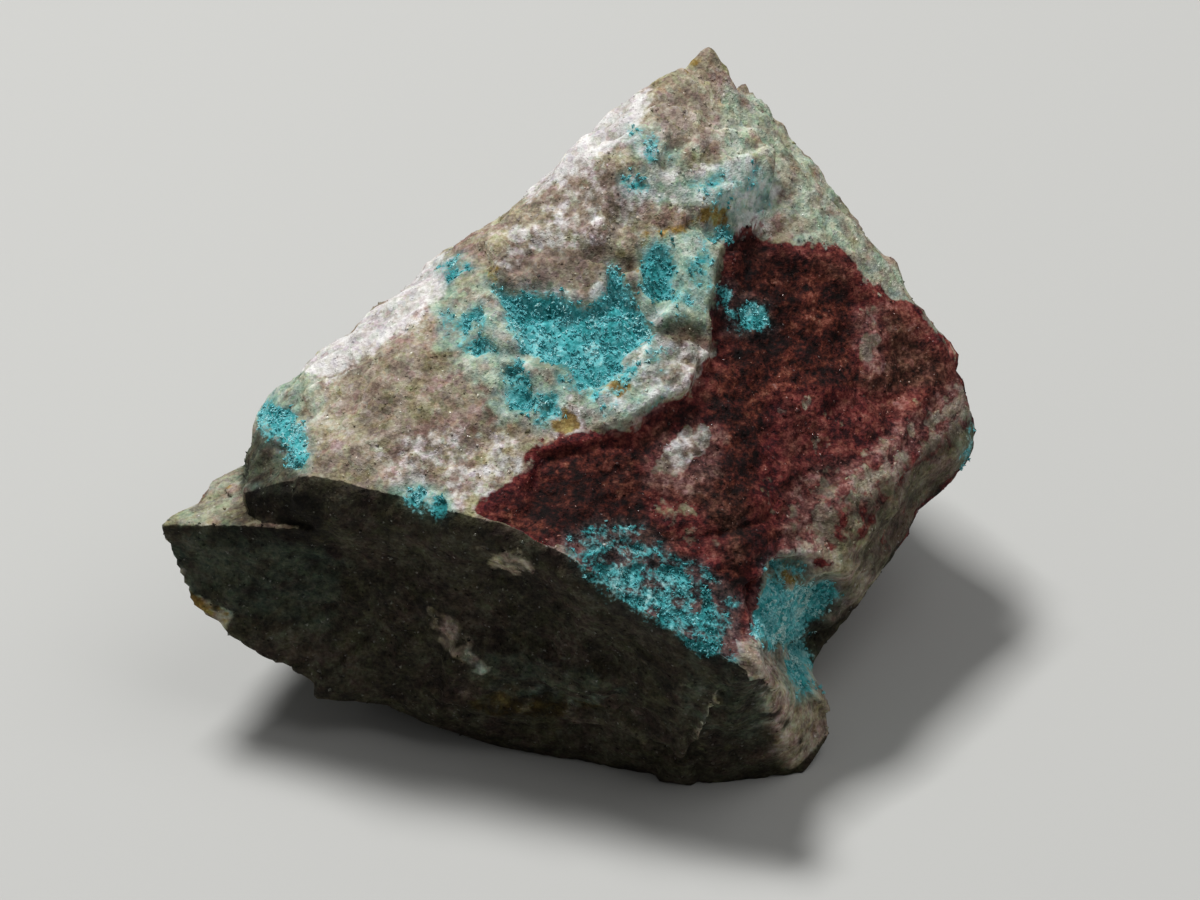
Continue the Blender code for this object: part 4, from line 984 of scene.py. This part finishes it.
# Layers over the pale rock and over the red: (share, strength, how, colours dark to light).
PALE_LAYERS = (
    ("yellow", 0.55, "MIX", ((0.40, "726c42"), (0.52, "a39e72"), (0.66, "cdc8a4"))),
    ("rose", 0.60, "MIX", ((0.38, "6b4a44"), (0.51, "a0807a"), (0.66, "cfb6b0"))),
    ("mauve", 0.65, "MIX", ((0.38, "54463f"), (0.51, "8a7870"), (0.66, "b9aaa0"))),
    ("olive", 0.45, "MIX", ((0.40, "57532c"), (0.66, "948b4e"))),
    ("rust", 0.30, "MIX", ((0.40, "7c4a34"), (0.66, "b98a66"))),
    ("aqua", 0.70, "MIX", ((0.36, "63877a"), (0.47, "94b7a6"), (0.57, "bdd0ba"),
                           (0.68, "dce6d6"))),
    # white quartz, and painted highlights on the lit upper edges
    ("white", 0.90, "MIX", ((0.34, "a9a29d"), (0.46, "d2cecb"), (0.58, "f2f0ee"))),
    ("film", 0.50, "MIX", ((0.38, "5f9c97"), (0.62, "b0d4cb"))),
    ("ochre", 0.95, "MIX", ((0.36, "4c3810"), (0.50, "7e6426"), (0.64, "b29c5c"))),
    # painted shade, besides dark clay: cracks, low places and shaded faces darkened
    ("dirt", 0.80, "MULTIPLY", ((0.36, "4e4b3c"), (0.64, "8c8874"))),
    # painted shade: the front face, faces turned down and the shaded left face, darkened
    ("front", 0.97, "MULTIPLY", ((0.36, "3b3c37"), (0.64, "62635a"))),
)
RED_LAYERS = (
    ("brick", 0.65, "MIX", ((0.33, "21140f"), (0.50, "5b382c"), (0.64, "8a6454"),
                            (0.78, "b39589"))),
    ("border", 0.60, "MIX", ((0.34, "37131a"), (0.50, "74292c"), (0.68, "a05850"))),
    ("mauve", 0.55, "MIX", ((0.34, "3c2624"), (0.50, "7a5650"), (0.68, "b3988f"))),
    ("film", 0.28, "MIX", ((0.36, "22393c"), (0.62, "6f9fa2"))),
    # painted shade, besides dark clay: cracks and the shaded top left of the red darkened
    ("dirt", 0.75, "MULTIPLY", ((0.34, "605854"), (0.68, "aca4a0"))),
)
AJOITE_FILM = ((0.38, "1f7273"), (0.48, "3d9fa3"), (0.58, "72c6ca"), (0.70, "bde6e3"))
PITS_SHADE = {1: -0.16, 2: 0.14, 3: 0.74, 4: 1.12}   # mm below and above the ground, and the painted shade in pits and painted light on high spots
DULL_TO_CLEAN = {1: 0.02, 2: 0.06}            # tints where a grain turns from dull to clean
DULL_ROUGH, CLEAN_ROUGH = 0.78, 0.25
DULL_GLOSS, CLEAN_GLOSS = 0.12, 0.60
QUARTZ_IOR = 1.54
GRIT_BUMP, GRIT_BUMP_MM = 0.7, 0.12


def rock_material(name):
    """Colours are laid over one another by each mineral's share, a share being its amount at
    the surface plus fine noise, cut off over a soft edge; bump is fine grit."""
    material = bpy.data.materials.new(name)
    material.use_nodes = True
    tree = material.node_tree
    shader = tree.nodes["Principled BSDF"]
    place = add(tree, "ShaderNodeTexCoord").outputs["Object"]
    fields = {}
    turned = add(tree, "ShaderNodeMapping", {
        "Vector": place, "Rotation": BEDS_TURN, "Scale": BEDS_STRETCH}).outputs[0]
    for label, (size_mm, detail, rough) in {**ROCK_FIELDS, "beds": BEDS_FIELD}.items():
        fields[label] = add(tree, "ShaderNodeTexNoise", {
            "Vector": turned if label == "beds" else place, "Scale": 1 / (MM * size_mm),
            "Detail": detail, "Roughness": rough}).outputs["Fac"]

    # a grain that stands out is lighter or darker by its own tint
    tint = add(tree, "ShaderNodeAttribute", attribute_name="tint").outputs["Fac"]
    mixes = []
    for weights in (PALE_MIX, RED_MIX):
        total = add(tree, "ShaderNodeMath", {0: tint, 1: 0.5 - 0.5 * sum(weights.values())},
                    operation="ADD").outputs[0]
        for label, weight in weights.items():
            total = add(tree, "ShaderNodeMath", {0: fields[label], 1: weight, 2: total},
                        operation="MULTIPLY_ADD").outputs[0]
        mixes.append(total)
    pale_pick, red_pick = mixes
    amounts, shares = {}, {}
    for label, (soft, wander, field) in PATCHES.items():
        amounts[label] = add(tree, "ShaderNodeAttribute", attribute_name=label).outputs["Fac"]
        moved = add(tree, "ShaderNodeMath", {0: fields[field], 1: wander, 2: -0.5 * wander},
                    operation="MULTIPLY_ADD").outputs[0]
        total = add(tree, "ShaderNodeMath", {0: amounts[label], 1: moved}, operation="ADD").outputs[0]
        shares[label] = add(tree, "ShaderNodeMapRange", {0: total, 1: -soft, 2: soft},
                            interpolation_type="SMOOTHSTEP").outputs[0]
    for label, (source, low, high) in HUES.items():
        shares[label] = add(tree, "ShaderNodeMapRange", {
            0: fields.get(source, amounts.get(source)), 1: low, 2: high}).outputs[0]

    # pale rock and red rock are each built up, then laid together under the ajoite
    rocks = []
    for pick, stops, layers in ((pale_pick, PALE, PALE_LAYERS), (red_pick, RED_ROCK, RED_LAYERS)):
        colour = add(tree, "ShaderNodeValToRGB", {0: pick}, stops=stops).outputs[0]
        for label, strength, blend, stops in layers:
            over = add(tree, "ShaderNodeValToRGB", {0: pick}, stops=stops).outputs[0]
            share = add(tree, "ShaderNodeMath", {0: shares[label], 1: strength},
                        operation="MULTIPLY").outputs[0]
            colour = add(tree, "ShaderNodeMix", {"Factor": share, 6: colour, 7: over},
                         data_type="RGBA", blend_type=blend).outputs[2]
        rocks.append(colour)
    colour = add(tree, "ShaderNodeMix", {"Factor": shares["red"], 6: rocks[0], 7: rocks[1]},
                 data_type="RGBA").outputs[2]
    grain_hue = add(tree, "ShaderNodeTexVoronoi", {
        "Vector": place, "Scale": 1 / (MM * GRAIN_CELL)}).outputs["Color"]
    colour = add(tree, "ShaderNodeMix", {"Factor": GRAIN_HUE, 6: colour, 7: grain_hue},
                 data_type="RGBA", blend_type="OVERLAY").outputs[2]
    ajoite = add(tree, "ShaderNodeValToRGB", {0: pale_pick}, stops=AJOITE_FILM).outputs[0]
    colour = add(tree, "ShaderNodeMix", {"Factor": shares["ajoite"], 6: colour, 7: ajoite},
                 data_type="RGBA").outputs[2]

    # painted shade and light: pits are darker, high spots a little lighter
    low = add(tree, "ShaderNodeAttribute", attribute_name="low").outputs["Fac"]
    shade = add(tree, "ShaderNodeMapRange", {0: low, **PITS_SHADE}).outputs[0]
    shade = add(tree, "ShaderNodeCombineColor", {0: shade, 1: shade, 2: shade}).outputs[0]
    colour = add(tree, "ShaderNodeMix", {"Factor": 1.0, 6: colour, 7: shade},
                 data_type="RGBA", blend_type="MULTIPLY").outputs[2]
    tree.links.new(colour, shader.inputs["Base Color"])

    rough = add(tree, "ShaderNodeMapRange", {0: tint, **DULL_TO_CLEAN, 3: DULL_ROUGH, 4: CLEAN_ROUGH})
    tree.links.new(rough.outputs[0], shader.inputs["Roughness"])
    gloss = add(tree, "ShaderNodeMapRange", {0: tint, **DULL_TO_CLEAN, 3: DULL_GLOSS, 4: CLEAN_GLOSS})
    tree.links.new(gloss.outputs[0], shader.inputs["Specular IOR Level"])
    shader.inputs["IOR"].default_value = QUARTZ_IOR
    bump = add(tree, "ShaderNodeBump", {"Height": fields["grit"], "Strength": GRIT_BUMP,
                                        "Distance": MM * GRIT_BUMP_MM})
    tree.links.new(bump.outputs[0], shader.inputs["Normal"])
    return material


minerals = minerals_at(bare_points, facing, square)
# How far each point stands above the ground round it drives the painted shade in pits and painted light
# on high spots.
ground = relief[:, None]
for _ in range(GROUND_ROUNDS):
    ground = around(ground, cells_of)
minerals["low"] = relief - ground[:, 0]       # how far a point stands above what is round it
minerals["tint"] = np.zeros(len(points))
rock = rock_material("broken quartz-rich rock")
skin = mesh_piece("stone_skin", points, split_cells(points, cells_of), rock, minerals)
skin.data.shade_smooth()
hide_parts("stone")

# Sugary quartz grains: hard little angular crystals that stand half out of the broken
# surface, grown or left there, each with flat faces that catch the light.
GRAINS_PER_MM2 = 5.0
GRAIN_SIZE = (0.06, 0.17)                     # half-lengths of the smallest and largest
GRAIN_SIDES, GRAIN_POLE = 5, 0.9              # a grain's sides, and its poles' height
GRAIN_UNEVEN, GRAIN_STRETCH = 0.25, (0.7, 1.15)    # how far a grain's corners and sides stray
GRAIN_SINK = 0.45                             # how deep a grain's middle lies, in half-lengths
GRAINS_GO = (0.05, -0.15)                     # amounts of ajoite between which grains give way
GRAINS_OFF_BASE = (0.3, 1.0)                  # mm over the base where grains start and are full
GRAIN_STANDS = 0.04                           # mm a grain counts as above the ground, for the painted pit shade and light
GRAIN_TINT = 0.07                             # how far a grain may stray from the rock's tone
BRIGHT_GRAINS, BRIGHTER = 0.05, 0.20          # share of clean white grains, lightened as painted glints, and by how much
DARK_GRAINS, DARKER = 0.03, 0.16              # share of dark grains, and by how much


def surface_spots(count, weight, rng):
    """Random spots on the skin: cells picked by size times weight, then a random point of
    each; returns the points, their outward directions, and the nearest corner's number."""
    corner = points[cells_of]
    chance = cell_size * weight[cells_of].mean(1)
    pick = rng.choice(len(cells_of), count, p=chance / chance.sum())
    s, t = rng.random((2, count, 1))
    c = corner[pick]
    spot = (c[:, 0] * (1 - s) + c[:, 1] * s) * (1 - t) + (c[:, 3] * (1 - s) + c[:, 2] * s) * t
    return spot, cell_out[pick] / (2 * cell_size[pick, None]), cells_of[pick, 0]


def any_turn(count, rng):
    """Random sets of three directions square to each other."""
    return np.linalg.qr(rng.normal(size=(count, 3, 3)))[0]


def grains(count, rng):
    """Blunt double pyramids with five sides: a ring of five corners and two poles, each
    stretched and turned at random, sunk by part of their height."""
    weight = smooth_rise(*GRAINS_GO, minerals["ajoite"])
    weight = weight * smooth_rise(*GRAINS_OFF_BASE, points[:, 2] - BASE_LEVEL)
    spot, out, nearest = surface_spots(count, weight, rng)
    k = np.arange(GRAIN_SIDES)
    angle = k * 2 * np.pi / GRAIN_SIDES
    ring = np.stack([np.cos(angle), np.sin(angle), np.zeros(GRAIN_SIDES)], 1)
    shape = np.concatenate([ring, [(0, 0, GRAIN_POLE), (0, 0, -GRAIN_POLE)]])
    uneven = 1 + GRAIN_UNEVEN * rng.uniform(-1, 1, (count, len(shape), 1))
    half = GRAIN_SIZE[0] + (GRAIN_SIZE[1] - GRAIN_SIZE[0]) * rng.random((count, 1, 1)) ** 2
    stretch = rng.uniform(*GRAIN_STRETCH, (count, 1, 3))
    made = np.einsum("gij,gpj->gpi", any_turn(count, rng), shape * uneven * stretch) * half
    made += (spot - out * (half[:, 0] * GRAIN_SINK))[:, None]
    top, foot = np.full((2, GRAIN_SIDES), [[GRAIN_SIDES], [GRAIN_SIDES + 1]])
    after = (k + 1) % GRAIN_SIDES
    faces = np.concatenate([np.stack([k, after, top], 1), np.stack([after, k, foot], 1)])
    return made, faces, nearest


def joined(made, faces):
    """Many like bodies as one array of points and one of faces, each facing outwards."""
    centre = made.mean(1, keepdims=True)
    a, b, c = (made[:, faces[:, k]] - centre for k in range(3))
    volume = (a * np.cross(b, c)).sum((1, 2))
    every = faces[None] + made.shape[1] * np.arange(len(made))[:, None, None]
    every = np.where(volume[:, None, None] < 0, every[:, :, ::-1], every)
    return made.reshape(-1, 3), every.reshape(-1, faces.shape[1])


def inside_box(made):
    """Which bodies lie wholly in the skin's box, so that nothing makes the object bigger."""
    return ((made > low_corner) & (made < high_corner)).all((1, 2))


rng = np.random.default_rng(31)
made, faces, nearest = grains(int(GRAINS_PER_MM2 * cell_size.sum()), rng)
kept = inside_box(made)
made, nearest = made[kept], nearest[kept]
grain_points, grain_faces = joined(made, faces)
corners = made.shape[1]
numbers = {label: np.repeat(values[nearest], corners) for label, values in minerals.items()}
numbers["low"] = np.full(len(grain_points), GRAIN_STANDS)
tint = rng.uniform(-GRAIN_TINT, GRAIN_TINT, len(made))
chance = rng.random(len(made))
# A few grains are painted near white to stand for glints, and a few darker.
tint += BRIGHTER * (chance < BRIGHT_GRAINS) - DARKER * (chance > 1 - DARK_GRAINS)
numbers["tint"] = np.repeat(tint, corners)
mesh_piece("quartz_grains", grain_points, grain_faces, rock, numbers)

# Ajoite: tufts of slim blades, a third of a millimetre long at most, that grew outwards from
# points on the walls of the hollows. They are glassy, and turquoise right through.
TUFTS_PER_MM2 = 18.0
TUFTS_COME = (-0.14, 0.16)                    # amounts of ajoite where tufts start and are full
BLADES_PER_TUFT = 7
BLADE_LENGTH = (0.10, 0.26)
BLADE_WIDTH, BLADE_THINNER = (0.018, 0.042), (0.45, 0.8)    # half-widths; thickness as a share
BLADE_LEAN = 0.70                             # how far blades spread from straight out
SHOULDER, SHOULDER_WIDTH = 0.78, 0.85         # where the slanting tip starts, and how wide
TIP_ASIDE = 0.4                               # how far the tip lies to one side, in half-widths
ROOT_DEPTH, ROOT_SPREAD = 0.10, 0.035         # how deep and how far apart blades are rooted


def blades(tufts, rng):
    """Four-sided blades with a slanting tip: corners 0 to 3 go round the root, 4 to 7 round the
    shoulder, 8 is the root's end and 9 the tip. The blades of a tuft lean apart."""
    weight = smooth_rise(*TUFTS_COME, minerals["ajoite"])
    root, out, nearest = surface_spots(tufts, weight, rng)
    count = tufts * BLADES_PER_TUFT
    root, out, nearest = (np.repeat(v, BLADES_PER_TUFT, axis=0) for v in (root, out, nearest))
    along = out + rng.normal(size=(count, 3)) * BLADE_LEAN
    along /= np.linalg.norm(along, axis=1, keepdims=True)
    side = np.cross(along, rng.normal(size=(count, 3)))
    side /= np.linalg.norm(side, axis=1, keepdims=True)
    across = np.cross(along, side)
    length = rng.uniform(*BLADE_LENGTH, (count, 1))
    wide = rng.uniform(*BLADE_WIDTH, (count, 1))
    thin = wide * rng.uniform(*BLADE_THINNER, (count, 1))
    base = root - along * ROOT_DEPTH + rng.normal(size=(count, 3)) * ROOT_SPREAD
    shoulder = base + along * length * SHOULDER
    ring = ((1, 1), (-1, 1), (-1, -1), (1, -1))
    corners = [base + s * side * wide + t * across * thin for s, t in ring]
    corners += [shoulder + (s * side * wide + t * across * thin) * SHOULDER_WIDTH for s, t in ring]
    corners += [base - along * ROOT_SPREAD, base + along * length + side * wide * TIP_ASIDE]
    made = np.stack(corners, 1)
    k = np.arange(4)
    after = (k + 1) % 4
    end, tip = np.full((2, 4), [[8], [9]])
    threes = ((k, after, after + 4), (k, after + 4, k + 4), (k + 4, after + 4, tip), (after, k, end))
    return made, np.concatenate([np.stack(three, 1) for three in threes]), nearest


# Painted shade and light on the crust: deeper teal in the shaded hollows, under the plate and on the
# shaded front, and paler blue in the recess: (change of tint, outline in pixels).
CRUST_SHADE_AND_LIGHT = {
    "second hollow": (-0.16, ((630, 240), (670, 235), (690, 262), (684, 300), (655, 312),
                              (632, 290))),
    "top of the hollow": (-0.14, ((484, 276), (560, 288), (600, 300), (612, 268), (630, 284),
                                  (600, 318), (560, 312), (500, 304))),
    "small hollow": (-0.16, ((496, 362), (524, 362), (545, 404), (528, 416), (506, 410))),
    "front patch": (-0.22, ((560, 530), (600, 520), (710, 560), (740, 610), (735, 660), (690, 660),
                            (600, 600))),
    "recess": (0.14, ((750, 580), (830, 575), (845, 600), (815, 640), (820, 700), (785, 700),
                      (760, 650))),
}
TONE_EDGE = 0.5                               # mm over which a tone comes in
BLADE_TINT = (-0.06, 0.15)                    # how far a blade's tint strays from the crust's
CRUST_FIELD, CRUST_FIELD_WEIGHT = (1.1, 4.0), 1.2    # its size in mm and detail, and its weight
AJOITE_CRYSTAL = ((0.30, "237475"), (0.46, "3c9ca1"), (0.62, "60bbc2"), (0.78, "8ad2d6"),
                  (0.92, "c8ece9"))
AJOITE_ROUGH, AJOITE_IOR = 0.30, 1.58
RIDGE_ROW = 480                               # the pixel row that parts the hollows from the ridge


def ajoite_material():
    """Turquoise by each blade's own tint, deeper towards teal in places a millimetre across."""
    material = bpy.data.materials.new("glassy ajoite crystal")
    material.use_nodes = True
    tree = material.node_tree
    shader = tree.nodes["Principled BSDF"]
    place = add(tree, "ShaderNodeTexCoord").outputs["Object"]
    broad = add(tree, "ShaderNodeTexNoise", {
        "Vector": place, "Scale": 1 / (MM * CRUST_FIELD[0]), "Detail": CRUST_FIELD[1]}).outputs["Fac"]
    tint = add(tree, "ShaderNodeAttribute", attribute_name="tint").outputs["Fac"]
    pick = add(tree, "ShaderNodeMath", {0: broad, 1: CRUST_FIELD_WEIGHT, 2: tint},
               operation="MULTIPLY_ADD").outputs[0]
    colour = add(tree, "ShaderNodeValToRGB", {0: pick}, stops=AJOITE_CRYSTAL)
    tree.links.new(colour.outputs[0], shader.inputs["Base Color"])
    shader.inputs["Roughness"].default_value = AJOITE_ROUGH
    shader.inputs["IOR"].default_value = AJOITE_IOR
    return material


crusted = (cell_size * smooth_rise(*TUFTS_COME, minerals["ajoite"])[cells_of].mean(1)).sum()
made, faces, nearest = blades(int(TUFTS_PER_MM2 * crusted), rng)
kept = inside_box(made)
made, nearest = made[kept], nearest[kept]
column, row = pixels_of(bare_points)
tone = sum(change * smooth_rise(0.0, TONE_EDGE, depth_inside(column, row, outline) * MM_PER_PIXEL)
           for change, outline in CRUST_SHADE_AND_LIGHT.values())
# each blade takes the crust's painted shade and light at its root
tint = rng.uniform(*BLADE_TINT, len(made)) + tone[nearest]

# The crystals are three pieces: in the hollows above, along the front ridge, and behind.
crystal = ajoite_material()
seen, low_down = facing[nearest] @ TO_VIEWER > 0, row[nearest] > RIDGE_ROW
for name, part in (("ajoite_in_hollows", seen & ~low_down), ("ajoite_on_ridge", seen & low_down),
                   ("ajoite_behind", ~seen)):
    blade_points, blade_faces = joined(made[part], faces)
    mesh_piece(name, blade_points, blade_faces, crystal, {"tint": np.repeat(tint[part], made.shape[1])})

# The stage: a plain pale floor and soft studio light, strongest from above and behind at
# the left, as on the real stone, with the camera where the photograph was taken from.
FLOOR_HALF, FLOOR_COLOUR, FLOOR_ROUGH = 1.2, "bfbfbc", 0.9
LENS, SENSOR_WIDTH = 180.0, 36.0
KEY_FROM, KEY_DISTANCE, KEY_SIZE, KEY_POWER = (-0.25, 0.28, 0.92), 0.50, 0.12, 2.5
FILL_FROM, FILL_DISTANCE, FILL_SIZE, FILL_POWER = (0.42, -0.08, 0.90), 0.60, 0.40, 0.75
LAMPS_AIM = (0.0, 0.0, 0.012)                 # metres: a point inside the stone
SKY_STRENGTH = 0.12
CLIP_START, CLIP_END = 0.01, 10.0             # metres: the camera sees nothing beyond these

floor_mesh = bpy.data.meshes.new("floor")
floor_corners = FLOOR_HALF * np.array([(-1, -1, 0), (1, -1, 0), (1, 1, 0), (-1, 1, 0)])
floor_mesh.from_pydata(floor_corners.tolist(), [], [(0, 1, 2, 3)])
paint = bpy.data.materials.new("matt pale paint")
paint.use_nodes = True
paint_inputs = paint.node_tree.nodes["Principled BSDF"].inputs
paint_inputs["Base Color"].default_value = hex_colour(FLOOR_COLOUR)
paint_inputs["Roughness"].default_value = FLOOR_ROUGH
floor_mesh.materials.append(paint)
floor = bpy.data.objects.new("floor", floor_mesh)
bpy.context.scene.collection.objects.link(floor)


def soft_lamp(name, came_from, distance, size, power):
    """A square lamp that faces the stone from a direction."""
    lamp = bpy.data.lights.new(name, "AREA")
    lamp.size, lamp.energy = size, power
    placed = bpy.data.objects.new(name, lamp)
    direction = Vector(came_from).normalized()
    placed.location = direction * distance + Vector(LAMPS_AIM)
    placed.rotation_euler = direction.to_track_quat("Z", "Y").to_euler()
    bpy.context.scene.collection.objects.link(placed)


soft_lamp("key_light", KEY_FROM, KEY_DISTANCE, KEY_SIZE, KEY_POWER)
soft_lamp("fill_light", FILL_FROM, FILL_DISTANCE, FILL_SIZE, FILL_POWER)
sky = bpy.data.worlds.new("pale studio")
sky.use_nodes = True
sky_inputs = sky.node_tree.nodes["Background"].inputs
sky_inputs["Color"].default_value = hex_colour("ffffff")
sky_inputs["Strength"].default_value = SKY_STRENGTH
bpy.context.scene.world = sky
bpy.context.scene.view_settings.view_transform = "Standard"

lens = bpy.data.cameras.new("camera")
lens.lens, lens.sensor_width = LENS, SENSOR_WIDTH
lens.clip_start, lens.clip_end = CLIP_START, CLIP_END
camera = bpy.data.objects.new("camera", lens)
aim = Vector(in_place(np.zeros((1, 3)))[0])
camera.location = aim + Vector(TO_VIEWER) * VIEW_DISTANCE * MM
camera.rotation_euler = Vector(TO_VIEWER).to_track_quat("Z", "Y").to_euler()
bpy.context.scene.collection.objects.link(camera)
bpy.context.scene.camera = camera
